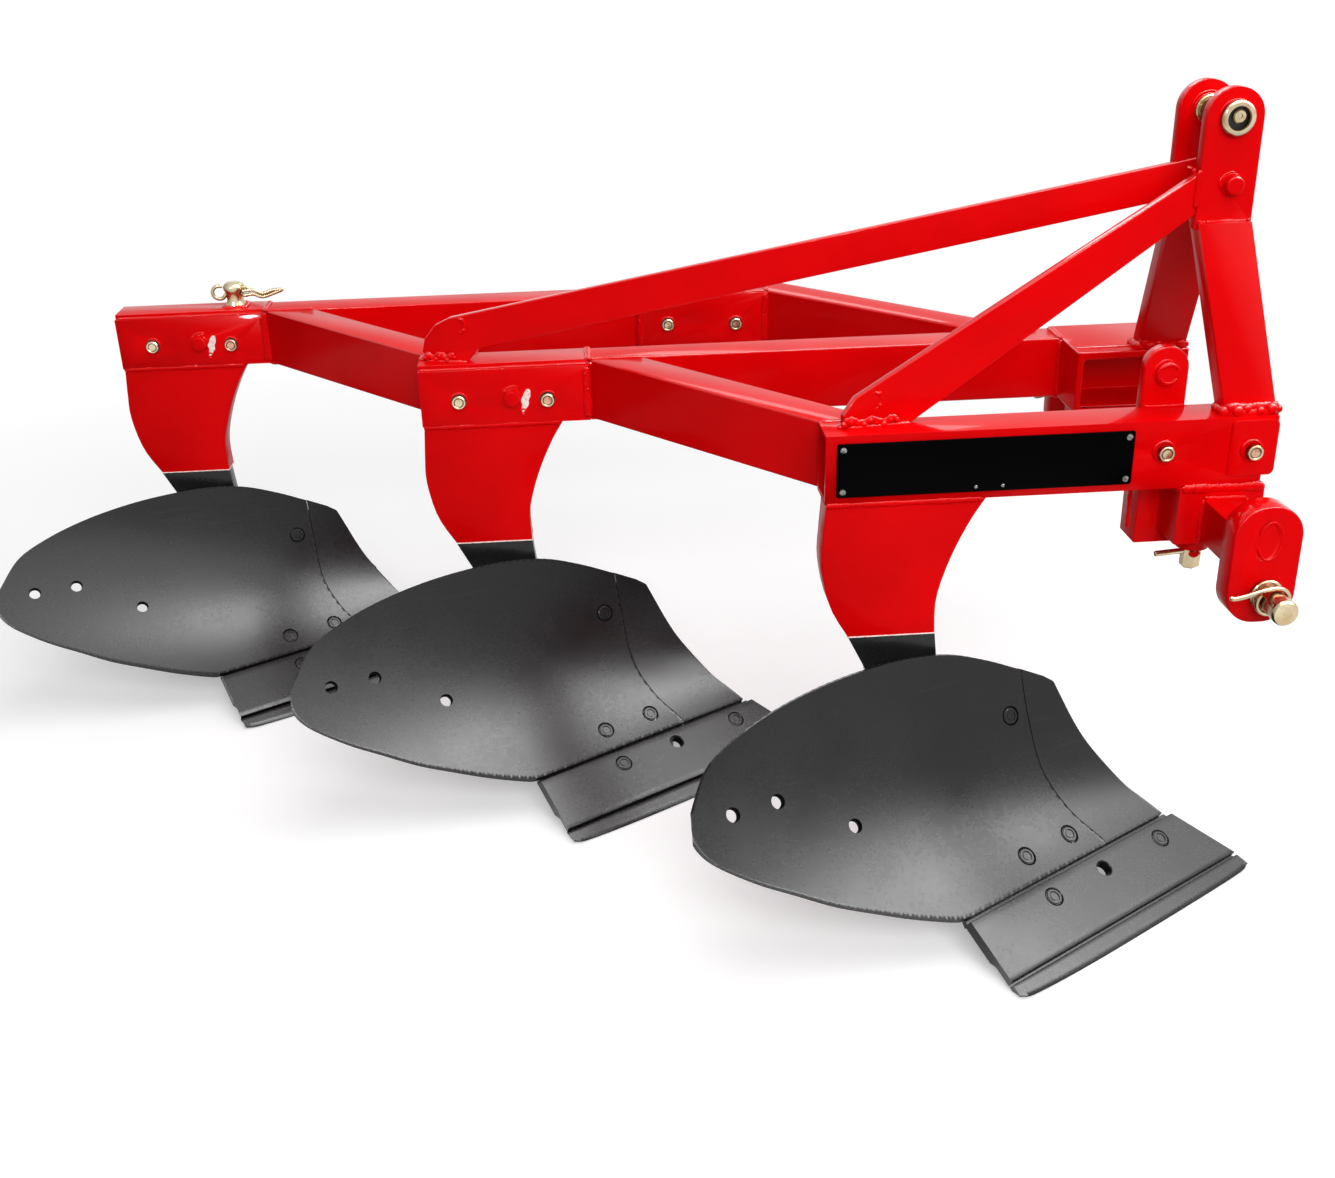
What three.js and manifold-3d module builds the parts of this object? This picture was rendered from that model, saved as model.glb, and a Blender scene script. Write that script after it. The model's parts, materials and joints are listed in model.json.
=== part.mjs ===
// Three-furrow mounted moldboard plough, right-hand throw.
// Millimetres. +X is the direction of travel, +Y the land side (left), +Z up, floor at Z = 0.
import * as THREE from 'three';
import { mergeVertices } from 'three/addons/utils/BufferGeometryUtils.js';
import Module from 'manifold-3d';

const wasm = await Module();
wasm.setup();

// ---------------------------------------------------------------- driving dimensions
const FURROW_WIDTH = 350; // sideways step from one body to the next
const BODY_PITCH = 482; // fore-and-aft step from one body to the next
const BODY_COUNT = 3;

const BEAM_HEIGHT = 82; // rectangular frame tube
const BEAM_WIDTH = 54;
const BEAM_WALL = 6;
const BEAM_BOTTOM = 470; // clearance under the frame
const BEAM_TOP = BEAM_BOTTOM + BEAM_HEIGHT;
const BEAM_NEAR = 309; // near face of each body's tube, from that body's own origin
const BEAM_FAR = BEAM_NEAR + BEAM_WIDTH;
const BOX_REAR = -173; // each body's tube, from its own origin
const BOX_FRONT = 51;
const SIDE_PLATE = 8; // plate on the near side of each tube
const FRONT_END = 345; // front end of the front beam

const LEG_NEAR = 303; // near face of the leg plate
const LEG_THICK = 38;
const LEG_FAR = LEG_NEAR + LEG_THICK;
const PAINT_LINE = 300; // red above, black below

const BOARD_THICK = 8; // moldboard and shin plate
const SHARE_TOP = 93; // width of the share up its own slope
const SHARE_LENGTH = 400;
const SHARE_ANGLE = THREE.MathUtils.degToRad(32); // cutting edge from the line of travel
const SHARE_LIFT = THREE.MathUtils.degToRad(30); // slope of the share plate
const SHARE_FLOOR = 8; // height of the share's datum line
const LANDSIDE_LENGTH = 215; // short: it ends ahead of the moldboard's extension holes

const MAST_X = 282; // centre of the mast plates along the plough
const MAST_NEAR = 375; // near face of the near mast plate
const MAST_PLATE = 14;
const MAST_GAP = 63; // between the mast plates, for the top link
const MAST_WIDTH = 64;
const TOP_PIN_Z = 870;
const TOP_PIN_R = 12;
const MAST_BEND_Z = 758;
const STAY_THICK = 12;

const HITCH_X = 293; // centre of the drop plates
const HITCH_SHOULDER = 180; // near face of the near drop plate
const HITCH_SPAN = 683; // shoulder to shoulder
const DROP_PLATE = 32;
const DROP_HALF = 38;
const DROP_TOP = 491;
const DROP_BOTTOM = 354;
const LOWER_PIN_X = 297;
const LOWER_PIN_Z = 389;
const LOWER_PIN_R = 14;
const LOWER_PIN_REACH = 54;
const LOWER_PIN_TAIL = 6; // stands out behind the drop plate
const LINCH_WIRE = 3.2; // radius of the linch pin's ring wire
const LINCH_TILT = 0.15; // ring's lean, radians
const LINCH_LEG = 46;
const OVAL = { z: 451, halfWide: 13.5, halfTall: 22.5, deep: 2.5 }; // recess in the drop plate's outer face
const STUB = 50; // square stub tube in the sleeve
const STUB_Z = 405;
const LOCK_COLLAR_R = 19; // boss under the sleeve round the lock pin

const CROSS_REAR = 205; // cross box under the far mast leg
const CROSS_FRONT = 352;
const CROSS_NEAR = 585;
const CROSS_FAR = FURROW_WIDTH + BEAM_FAR + 9; // 9 past the middle beam's far face

const GAP = 0.3; // running clearance
const SEG = 24; // segments round a bore or pin

// ---------------------------------------------------------------- materials
const slot = (name, color, roughness, metalness) =>
  Object.assign(new THREE.MeshStandardMaterial({ color, roughness, metalness }), { name });
const RED = slot('red_paint', 0xd80a10, 0.3, 0.0);
const BLACK = slot('black_paint', 0x2b2b2c, 0.5, 0.2);
const ZINC = slot('yellow_zinc', 0xbfae78, 0.3, 1.0);
const PLATE = slot('nameplate_black', 0x060606, 0.25, 0.0);

// ---------------------------------------------------------------- solids
function toSolid(geometry) {
  let bare = geometry.clone();
  bare.deleteAttribute('normal');
  bare.deleteAttribute('uv');
  bare = mergeVertices(bare, 1e-4);
  const index = bare.index.array;
  const kept = [];
  for (let i = 0; i < index.length; i += 3) {
    const [a, b, c] = [index[i], index[i + 1], index[i + 2]];
    if (a !== b && b !== c && a !== c) kept.push(a, b, c);
  }
  return new wasm.Manifold(new wasm.Mesh({
    numProp: 3,
    vertProperties: new Float32Array(bare.attributes.position.array),
    triVerts: new Uint32Array(kept),
  }));
}

function toGeometry(solid) {
  const mesh = solid.getMesh();
  const geometry = new THREE.BufferGeometry();
  const corners = new Float32Array(mesh.vertProperties);
  geometry.setAttribute('position', new THREE.BufferAttribute(corners, 3));
  geometry.setIndex(new THREE.BufferAttribute(new Uint32Array(mesh.triVerts), 1));
  const flat = geometry.toNonIndexed();
  flat.computeVertexNormals();
  return flat;
}

const join = (...solids) => solids.reduce((a, b) => a.add(b));
const cut = (solid, ...tools) => tools.reduce((a, b) => a.subtract(b), solid);

// Rectangular block between two corners.
function block(x0, x1, y0, y1, z0, z1) {
  const box = new THREE.BoxGeometry(x1 - x0, y1 - y0, z1 - z0);
  box.translate((x0 + x1) / 2, (y0 + y1) / 2, (z0 + z1) / 2);
  return toSolid(box);
}

const asShape = (points) => new THREE.Shape(points.map(([a, b]) => new THREE.Vector2(a, b)));

// Outline in the upright X-Z plane, carried along Y.
function slab(points, y0, y1) {
  const shape = points instanceof THREE.Shape ? points : asShape(points);
  const geometry = new THREE.ExtrudeGeometry(shape, { depth: y1 - y0, bevelEnabled: false, curveSegments: 8 });
  geometry.rotateX(Math.PI / 2);
  geometry.translate(0, y1, 0);
  return toSolid(geometry);
}

// Outline in plan, carried up Z.
function plan(points, z0, z1) {
  const geometry = new THREE.ExtrudeGeometry(asShape(points), { depth: z1 - z0, bevelEnabled: false });
  geometry.translate(0, 0, z0);
  return toSolid(geometry);
}

// Round bar along one axis, starting at a point.
function rod(axis, x, y, z, radius, length, sides = SEG) {
  const bar = new THREE.CylinderGeometry(radius, radius, Math.abs(length), sides);
  bar.translate(0, length / 2, 0);
  if (axis === 'x') bar.rotateZ(-Math.PI / 2);
  if (axis === 'z') bar.rotateX(Math.PI / 2);
  bar.translate(x, y, z);
  return toSolid(bar);
}

// Turned piece about a line along Y: the profile is pairs of radius and distance.
function turned(profile, x, y, z) {
  const points = profile.map(([r, d]) => new THREE.Vector2(r, d));
  const piece = new THREE.LatheGeometry(points, SEG);
  piece.translate(x, y, z);
  const solid = toSolid(piece);
  return solid.volume() > 0 ? solid : flip(piece);
}

function flip(geometry) {
  const turnedOut = geometry.clone();
  const index = turnedOut.index.array;
  for (let i = 0; i < index.length; i += 3) {
    [index[i], index[i + 1]] = [index[i + 1], index[i]];
  }
  return toSolid(turnedOut);
}

// Six-sided solid between a lower and an upper rectangle, corners in the same order.
function frustum(lower, upper) {
  const geometry = new THREE.BufferGeometry();
  const corners = [...lower, ...upper].flat();
  geometry.setAttribute('position', new THREE.Float32BufferAttribute(corners, 3));
  const sides = [0, 1, 2, 3].flatMap((i) => {
    const j = (i + 1) % 4;
    return [i, j, j + 4, i, j + 4, i + 4];
  });
  geometry.setIndex([0, 2, 1, 0, 3, 2, 4, 5, 6, 4, 6, 7, ...sides]);
  return toSolid(geometry);
}

// Stadium or rounded-end plate outline, upright, centred on x.
function roundedPlate(x, half, bottom, top, lowRadius, highRadius) {
  const shape = new THREE.Shape();
  shape.moveTo(x - half + lowRadius, bottom);
  shape.lineTo(x + half - lowRadius, bottom);
  if (lowRadius) shape.absarc(x + half - lowRadius, bottom + lowRadius, lowRadius, -Math.PI / 2, 0, false);
  shape.lineTo(x + half, top - highRadius);
  shape.absarc(x + half - highRadius, top - highRadius, highRadius, 0, Math.PI / 2, false);
  shape.absarc(x - half + highRadius, top - highRadius, highRadius, Math.PI / 2, Math.PI, false);
  if (lowRadius) shape.absarc(x - half + lowRadius, bottom + lowRadius, lowRadius, Math.PI, Math.PI * 1.5, false);
  else shape.lineTo(x - half, bottom);
  return shape;
}

// Smooth outline through control points.
function smooth(points, count) {
  const curve = new THREE.SplineCurve(points.map(([a, b]) => new THREE.Vector2(a, b)));
  return curve.getPoints(count).map((p) => [p.x, p.y]);
}

// Rectangular tube along X, open at both ends.
function tubeX(x0, x1, y0) {
  const outer = block(x0, x1, y0, y0 + BEAM_WIDTH, BEAM_BOTTOM, BEAM_TOP);
  const inner = block(x0 - 1, x1 + 1, y0 + BEAM_WALL, y0 + BEAM_WIDTH - BEAM_WALL,
    BEAM_BOTTOM + BEAM_WALL, BEAM_TOP - BEAM_WALL);
  return cut(outer, inner);
}

// Crossing of the line through a point with an end line "x = value" or "y = value".
function meet(point, direction, end) {
  const axis = 'x' in end ? 0 : 1;
  const value = 'x' in end ? end.x : end.y;
  const t = (value - point[axis]) / direction[axis];
  return [point[0] + t * direction[0], point[1] + t * direction[1]];
}

// Slanted frame tube seen in plan: its near side runs from one point to another and each
// end is cut on the given line, so that it butts flat on the tube it is welded to.
function brace(from, to, startLine, endLine) {
  const [dx, dy] = [to[0] - from[0], to[1] - from[1]];
  const length = Math.hypot(dx, dy);
  const along = [dx / length, dy / length];
  const away = [-along[1], along[0]];
  const side = (offset) => [from[0] + away[0] * offset, from[1] + away[1] * offset];
  const ring = (inset, extra) => {
    const near = side(inset);
    const far = side(BEAM_WIDTH - inset);
    const a = meet(near, along, startLine);
    const b = meet(near, along, endLine);
    const c = meet(far, along, endLine);
    const d = meet(far, along, startLine);
    const push = (p, s) => [p[0] + along[0] * s, p[1] + along[1] * s];
    return [push(a, -extra), push(b, extra), push(c, extra), push(d, -extra)];
  };
  return cut(plan(ring(0, 0), BEAM_BOTTOM, BEAM_TOP),
    plan(ring(BEAM_WALL, 30), BEAM_BOTTOM + BEAM_WALL, BEAM_TOP - BEAM_WALL));
}

// Flat bar standing on edge between two plan points; the outline is distance along and height.
function standingBar(from, to, thickness, outline) {
  const bar = new THREE.ExtrudeGeometry(asShape(outline), { depth: thickness, bevelEnabled: false });
  bar.rotateX(Math.PI / 2);
  bar.translate(0, thickness / 2, 0);
  bar.rotateZ(Math.atan2(to[1] - from[1], to[0] - from[0]));
  bar.translate(from[0], from[1], 0);
  return toSolid(bar);
}

// End point, at a given X, of a bar whose left face passes a corner.
function aimPast(from, corner, thickness, endX) {
  const reach = Math.hypot(corner[0] - from[0], corner[1] - from[1]);
  const bearing = Math.atan2(corner[1] - from[1], corner[0] - from[0]);
  const heading = bearing - Math.asin(thickness / 2 / reach);
  return [endX, from[1] + (endX - from[0]) * Math.tan(heading)];
}

// Hexagon-headed or round-headed screw facing the near side.
function screw(x, face, z, radius, head, reach, sides) {
  return join(rod('y', x, face - head, z, radius, head - GAP, sides),
    rod('y', x, face - GAP - 1, z, radius * 0.55, reach + 1, 16));
}

// ---------------------------------------------------------------- body surface
// Near face of moldboard and shin, from the body's own origin. At the bottom it carries on
// the slope of the share; it then rises ever more steeply, and reaches less far back the
// nearer it is to the shin.
const EDGE_X = -37;
const EDGE_Y = 78;
const EDGE_Z = 56;
const EDGE_SLOPE = 0.627;
const FOOT_SLOPE = 2.04;

function facing(x, z) {
  const rise = z - EDGE_Z;
  const reach = 230 - 0.5 * x;
  return EDGE_Y + EDGE_SLOPE * (x - EDGE_X) + reach * (1 - Math.exp(-FOOT_SLOPE * rise / reach));
}

// Point on the surface moved square to it by a distance, away from the near side.
function behind(x, z, distance) {
  const step = 0.5;
  const sx = (facing(x + step, z) - facing(x - step, z)) / (2 * step);
  const sz = (facing(x, z + step) - facing(x, z - step)) / (2 * step);
  const away = new THREE.Vector3(-sx, 1, -sz).normalize();
  return [x + away.x * distance, facing(x, z) + away.y * distance, z + away.z * distance];
}

// Closed sheet between two gridded faces.
function sheet(frontAt, backAt, x0, x1, z0, z1, step) {
  const nx = Math.round((x1 - x0) / step);
  const nz = Math.round((z1 - z0) / step);
  const corners = [];
  for (const at of [frontAt, backAt]) {
    for (let j = 0; j <= nz; j += 1) {
      for (let i = 0; i <= nx; i += 1) {
        corners.push(...at(x0 + (i * (x1 - x0)) / nx, z0 + (j * (z1 - z0)) / nz));
      }
    }
  }
  const half = (nx + 1) * (nz + 1);
  const at = (i, j) => j * (nx + 1) + i;
  const faces = [];
  const quad = (a, b, c, d) => faces.push(a, b, c, a, c, d);
  for (let j = 0; j < nz; j += 1) {
    for (let i = 0; i < nx; i += 1) {
      const [a, b, c, d] = [at(i, j), at(i + 1, j), at(i + 1, j + 1), at(i, j + 1)];
      quad(a, b, c, d);
      quad(d + half, c + half, b + half, a + half);
    }
  }
  for (let i = 0; i < nx; i += 1) {
    quad(at(i + 1, 0), at(i, 0), at(i, 0) + half, at(i + 1, 0) + half);
    quad(at(i, nz), at(i + 1, nz), at(i + 1, nz) + half, at(i, nz) + half);
  }
  for (let j = 0; j < nz; j += 1) {
    quad(at(0, j), at(0, j + 1), at(0, j + 1) + half, at(0, j) + half);
    quad(at(nx, j + 1), at(nx, j), at(nx, j) + half, at(nx, j + 1) + half);
  }
  const geometry = new THREE.BufferGeometry();
  geometry.setAttribute('position', new THREE.Float32BufferAttribute(corners, 3));
  geometry.setIndex(faces);
  return toSolid(geometry);
}

// Share frame: s runs along the cutting edge, t up the slope, n out of the working face.
const ALONG = new THREE.Vector3(Math.cos(SHARE_ANGLE), Math.sin(SHARE_ANGLE), 0);
const UP = new THREE.Vector3(-Math.sin(SHARE_ANGLE) * Math.cos(SHARE_LIFT),
  Math.cos(SHARE_ANGLE) * Math.cos(SHARE_LIFT), Math.sin(SHARE_LIFT));
const OUT = new THREE.Vector3().crossVectors(ALONG, UP);
const SHARE_FRAME = new THREE.Matrix4().makeBasis(ALONG, UP, OUT).setPosition(0, 0, SHARE_FLOOR);

// Plate laid on the share frame, from one depth to another.
function sharePlate(points, n0, n1) {
  const geometry = new THREE.ExtrudeGeometry(asShape(points), { depth: n1 - n0, bevelEnabled: false });
  geometry.translate(0, 0, n0);
  geometry.applyMatrix4(SHARE_FRAME);
  return toSolid(geometry);
}

function shareRod(s, t, radius, n0, n1) {
  const bar = new THREE.CylinderGeometry(radius, radius, n1 - n0, 20);
  bar.rotateX(Math.PI / 2);
  bar.translate(s, t, (n0 + n1) / 2);
  bar.applyMatrix4(SHARE_FRAME);
  return toSolid(bar);
}

// Round bar square to the moldboard face at a point, from one depth to another.
function boardRod(x, z, radius, d0, d1) {
  const bar = new THREE.CylinderGeometry(radius, radius, d1 - d0, 20);
  bar.translate(0, (d0 + d1) / 2, 0);
  const base = new THREE.Vector3(...behind(x, z, 0));
  const tip = new THREE.Vector3(...behind(x, z, 1));
  const turn = new THREE.Quaternion().setFromUnitVectors(new THREE.Vector3(0, 1, 0), tip.clone().sub(base).normalize());
  bar.applyQuaternion(turn);
  bar.translate(base.x, base.y, base.z);
  return toSolid(bar);
}

// ---------------------------------------------------------------- one plough body
const HOLES = [[-301, 190], [-248, 187], [-159, 145]];
const BOARD_BOLTS = [[57, 190], [50, 72], [113, 72]];
const SHARE_BOLTS = [[124, 73], [316, 73]];
const SHARE_HOLE = [213, 74];
const HEAD_R = 10;
const HEAD_DEEP = 5;
const SHANK_R = 6;

const SEAM = smooth([[73, 239], [81, 180], [93, 127], [121, 87], [160, EDGE_Z]], 14);
const LOWER_RIM = [[-37, EDGE_Z], [-54, 58], [-101, 70], [-147, 84], [-192, 99], [-236, 117],
  [-280, 136], [-323, 159], [-343, 176], [-349, 192], [-342, 210], [-323, 236]];
const UPPER_RIM = [[-323, 236], [-285, 254], [-240, 267], [-190, 276], [-137, 281], [-75, 282],
  [-20, 275], [30, 258], [73, 239]];
const SHIN_EDGE = smooth([[118, 216], [132, 188], [145, 163], [160, 139], [182, 112], [207, 86],
  [226, 72], [249, EDGE_Z]], 16);

function boardSheet(from, to) {
  return sheet((x, z) => behind(x, z, from), (x, z) => behind(x, z, to), -384, 296, 36, 316, 31);
}

function makeMoldboard() {
  const rim = [...smooth(LOWER_RIM, 26), ...smooth(UPPER_RIM, 20).slice(1), ...SEAM.slice(1)];
  let board = boardSheet(0, BOARD_THICK).intersect(slab(rim, -60, 420));
  for (const [x, z] of HOLES) board = board.subtract(boardRod(x, z, 7, -20, 30));
  for (const [x, z] of BOARD_BOLTS) {
    board = cut(board, boardRod(x, z, HEAD_R + GAP, -20, HEAD_DEEP + GAP), boardRod(x, z, SHANK_R + GAP, 0, 30));
  }
  return board;
}

function makeShin() {
  const seam = SEAM.map(([x, z]) => [x + 1.2, z]);
  const edge = [...seam, ...[...SHIN_EDGE].reverse(), [104, 225]];
  return boardSheet(0, BOARD_THICK).intersect(slab(edge, -60, 420));
}

function makeShare() {
  const right = SHARE_LENGTH;
  const edge = [[0, -2], [24, -8], [142, -11], [367, -9], [right + 7, -4]];
  const base = sharePlate([...edge, [right, 15], [358, SHARE_TOP], [3, SHARE_TOP]], -14, -4.5);
  const blade = sharePlate([...edge, [right + 2, 12], [1, 12]], -5, -2);
  const face = sharePlate([[1, 16], [right - 1, 16], [357, SHARE_TOP], [4, SHARE_TOP]], -5, 0);
  let share = join(base, blade, face);
  for (const [s, t] of SHARE_BOLTS) {
    share = cut(share, shareRod(s, t, HEAD_R + GAP, -HEAD_DEEP - GAP, 5), shareRod(s, t, SHANK_R + GAP, -30, 0));
  }
  share = share.subtract(shareRod(...SHARE_HOLE, 9, -30, 5));
  return share.subtract(block(-200, 700, -300, 600, -60, 0));
}

function makeLeg() {
  const back = smooth([[-171, BEAM_BOTTOM], [-174, 430], [-175, 391], [-164, 340], [-142, PAINT_LINE]], 14);
  const front = smooth([[-38, PAINT_LINE], [-38, 345], [-24, 395], [-4, 440], [14, BEAM_BOTTOM]], 14);
  return slab([...back, ...front], LEG_NEAR, LEG_FAR);
}

// Frog: lower leg, curved saddle behind the moldboard, ribs and the seat under the share,
// in one piece with the plough bolts that hold moldboard and share.
function makeFrog() {
  const web = slab([[-142, PAINT_LINE], [-119, 254], [-104, 170], [-112, 60], [-96, 16], [40, 10],
    [150, 60], [170, 110], [96, 195], [10, 236], [-34, 262], [-38, PAINT_LINE]], LEG_NEAR, LEG_FAR - 14);
  const saddle = boardSheet(BOARD_THICK + GAP, BOARD_THICK + 12)
    .intersect(slab([[-30, 62], [150, 62], [150, 120], [96, 205], [30, 235], [-40, 235]], -60, LEG_FAR - 14));
  const rib = (z, x0, x1) => block(x0, x1, 100, LEG_NEAR + 4, z, z + 12);
  const keel = sharePlate([[70, 40], [330, 40], [330, 98], [70, 98]], -26, -14 - GAP);
  const strut = block(-40, -26, 90, LEG_NEAR + 4, 30, 120);
  const toe = block(90, 104, 140, LEG_NEAR + 4, 30, 120);
  const ahead = sheet((x, z) => [x, -150, z], (x, z) => behind(x, z, BOARD_THICK + GAP), -384, 296, 36, 316, 31);
  const aboveShare = sharePlate([[-100, -40], [460, -40], [460, SHARE_TOP + 6], [-100, SHARE_TOP + 6]], -14 - GAP, 60);
  let frog = join(web, saddle, rib(176, -20, 110), rib(104, -40, 120), rib(30, -40, 104), keel, strut, toe);
  frog = cut(frog, ahead, aboveShare, block(-400, 700, -300, 600, -100, 2));
  for (const [x, z] of BOARD_BOLTS) {
    frog = join(frog, boardRod(x, z, HEAD_R, 0.4, HEAD_DEEP), boardRod(x, z, SHANK_R, HEAD_DEEP - 1, 24));
  }
  for (const [s, t] of SHARE_BOLTS) {
    frog = join(frog, shareRod(s, t, HEAD_R, -HEAD_DEEP, -0.4), shareRod(s, t, SHANK_R, -34, -HEAD_DEEP + 1));
  }
  return frog;
}

function makeLandside() {
  return slab([[120 - LANDSIDE_LENGTH, 0], [96, 0], [120, 30], [120, 88], [130 - LANDSIDE_LENGTH, 88],
    [120 - LANDSIDE_LENGTH, 78]], LEG_FAR - 14, LEG_FAR);
}

// ---------------------------------------------------------------- assembly
const group = new THREE.Group();
group.name = 'moldboard_plough';

function add(name, solid, material, shift = [0, 0, 0]) {
  const geometry = toGeometry(solid);
  geometry.translate(...shift);
  const mesh = new THREE.Mesh(geometry, material);
  mesh.name = name;
  group.add(mesh);
}

const bodyAt = (i) => [-BODY_PITCH * i, FURROW_WIDTH * i, 0];
const body = {
  leg: [makeLeg(), RED],
  frog: [makeFrog(), BLACK],
  moldboard: [makeMoldboard(), BLACK],
  shin: [makeShin(), BLACK],
  share: [makeShare(), BLACK],
  landside: [makeLandside(), BLACK],
};
for (let i = 0; i < BODY_COUNT; i += 1) {
  for (const [part, [solid, material]] of Object.entries(body)) {
    add(`${part}_${i + 1}`, solid, material, bodyAt(i));
  }
}

// Front beam with a notched front end, a bolting pad and the nameplate.
const FRONT_NEAR = LEG_NEAR - 1;
const FRONT_FAR = FRONT_NEAR + BEAM_WIDTH;
function makeFrontBeam() {
  const x0 = BOX_REAR;
  const x1 = FRONT_END;
  const outer = slab([[x0, BEAM_BOTTOM], [x1 - 12, BEAM_BOTTOM], [x1 - 12, BEAM_BOTTOM + 16],
    [x1, BEAM_BOTTOM + 30], [x1, BEAM_TOP], [x0, BEAM_TOP]], FRONT_NEAR, FRONT_FAR);
  const inner = block(x0 - 1, x1 - 20, FRONT_NEAR + BEAM_WALL, FRONT_FAR - BEAM_WALL,
    BEAM_BOTTOM + BEAM_WALL, BEAM_TOP - BEAM_WALL);
  const pad = slab(roundedPlate(x1 - 27, 27, BEAM_BOTTOM + 13, BEAM_TOP - 3, 7, 7), FRONT_NEAR - 4, FRONT_NEAR + 1);
  return cut(join(outer, pad), inner);
}
let frontBeam = makeFrontBeam();
const frontBolts = [[216, FRONT_NEAR, 515], [317, FRONT_NEAR - 4, 513]];
for (const [x, , z] of frontBolts) frontBeam = frontBeam.subtract(rod('y', x, FRONT_NEAR - 10, z, 6.2, 40));
add('front_beam', frontBeam, RED);
frontBolts.forEach(([x, face, z], i) => add(`front_beam_bolt_${i + 1}`, screw(x, face, z, 9, 10, 14, 24), ZINC));

const plateShape = roundedPlate(9.5, 170, BEAM_BOTTOM + 9, BEAM_TOP - 9, 3, 3);
add('name_plate', slab(plateShape, FRONT_NEAR - 3, FRONT_NEAR), PLATE);

// Tube of the second and third bodies with the side plate and its bolts.
const legBolts = [[-122, 504], [-5, 502]];
for (let i = 1; i < BODY_COUNT; i += 1) {
  let box = join(tubeX(BOX_REAR, BOX_FRONT, BEAM_NEAR),
    block(BOX_REAR, BOX_FRONT, BEAM_NEAR - SIDE_PLATE, BEAM_NEAR + 1, BEAM_BOTTOM, BEAM_TOP - 6),
    rod('y', -52, BEAM_NEAR - SIDE_PLATE - 10, 506, 10, 14));
  for (const [x, z] of legBolts) box = box.subtract(rod('y', x, BEAM_NEAR - 20, z, 6.2, 40));
  if (i === BODY_COUNT - 1) box = box.subtract(rod('z', 2, BEAM_NEAR + 32, BEAM_TOP + 10, 14.3, -40));
  add(`body_tube_${i + 1}`, box, RED, bodyAt(i));
  legBolts.forEach(([x, z], k) => {
    add(`leg_bolt_${i + 1}_${k + 1}`, screw(x, BEAM_NEAR - SIDE_PLATE, z, 9, 8, 18, 24), ZINC, bodyAt(i));
  });
}

// Slanted braces that step from one body's tube to the next.
for (let i = 1; i < BODY_COUNT; i += 1) {
  const [x, y] = bodyAt(i);
  const [px, py] = bodyAt(i - 1);
  const start = [x + BOX_FRONT, y + BEAM_NEAR - (i === 2 ? SIDE_PLATE : 0)];
  const end = [px + BOX_REAR + 4, py + (i === 1 ? FRONT_FAR : BEAM_FAR)];
  add(`step_brace_${i}`, brace(start, end, { y: start[1] }, { y: end[1] }), RED);
}

// Middle beam, straight ahead from the second tube to the cross box.
const [midX, midY] = bodyAt(1);
const midNear = midY + BEAM_NEAR;
add('middle_beam', tubeX(midX + BOX_FRONT, CROSS_REAR, midNear), RED);

// Far beam, bolted splice and the slanted brace back in to the middle beam.
const [farX, farY] = bodyAt(2);
const farNear = farY + BEAM_NEAR - 8;
const SPLICE_REAR = -348;
const SPLICE_FRONT = -150;
add('far_beam', tubeX(farX + BOX_FRONT, SPLICE_REAR, farNear), RED);
let splice = join(tubeX(SPLICE_REAR, SPLICE_FRONT, farNear),
  block(SPLICE_REAR, SPLICE_FRONT, farNear - SIDE_PLATE, farNear + 1, BEAM_BOTTOM, BEAM_TOP - 2));
const spliceBolts = [[SPLICE_REAR + 45, 506], [SPLICE_FRONT - 48, 503]];
for (const [x, z] of spliceBolts) splice = splice.subtract(rod('y', x, farNear - 20, z, 6.2, 40));
add('far_splice', splice, RED);
spliceBolts.forEach(([x, z], k) => {
  add(`splice_bolt_${k + 1}`, screw(x, farNear - SIDE_PLATE, z, 9, 7, 18, 24), ZINC);
});
const braceStart = [SPLICE_FRONT, farNear - 6];
const braceEnd = [CROSS_REAR - 92, midNear + BEAM_WIDTH];
add('far_brace', brace(braceStart, braceEnd, { x: SPLICE_FRONT }, { y: braceEnd[1] }), RED);

// Cross box, open towards the near side as deep as the middle beam's near face.
const crossBox = cut(block(CROSS_REAR, CROSS_FRONT, CROSS_NEAR, CROSS_FAR, BEAM_BOTTOM, BEAM_TOP),
  block(CROSS_REAR + 9, CROSS_FRONT - 12, CROSS_NEAR - 1, midNear, BEAM_BOTTOM + 9, BEAM_TOP - 11));
add('cross_box', crossBox, RED);

// ---------------------------------------------------------------- mast
const mastHalf = MAST_WIDTH / 2;
const FAR_PLATE = MAST_NEAR + MAST_PLATE + MAST_GAP;
function makeMastSide(plateNear, foot) {
  const plate = slab(roundedPlate(MAST_X, mastHalf, MAST_BEND_Z - 8, TOP_PIN_Z + mastHalf, 0, mastHalf),
    plateNear, plateNear + MAST_PLATE);
  const deep = foot.thick;
  const mid = plateNear + MAST_PLATE / 2;
  const ring = (cx, y0, y1, z) => [[cx - mastHalf + 2, y0, z], [cx + mastHalf - 2, y0, z],
    [cx + mastHalf - 2, y1, z], [cx - mastHalf + 2, y1, z]];
  const leg = frustum(ring(foot.x, foot.y - deep / 2, foot.y + deep / 2, BEAM_TOP),
    ring(MAST_X, mid - deep / 2, mid + deep / 2, MAST_BEND_Z));
  const holes = join(rod('y', MAST_X, plateNear - 20, TOP_PIN_Z, TOP_PIN_R + GAP, 80),
    rod('y', MAST_X + 4, plateNear - 20, TOP_PIN_Z - 71, 8 + GAP, 80));
  return cut(join(plate, leg), holes);
}
const nearFoot = { x: MAST_X + 36, y: FRONT_NEAR + 30, thick: 30 };
const farFoot = { x: MAST_X + 37, y: CROSS_NEAR + 24, thick: 28 };
add('mast_near', makeMastSide(MAST_NEAR, nearFoot), RED);
add('mast_far', makeMastSide(FAR_PLATE, farFoot), RED);

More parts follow.
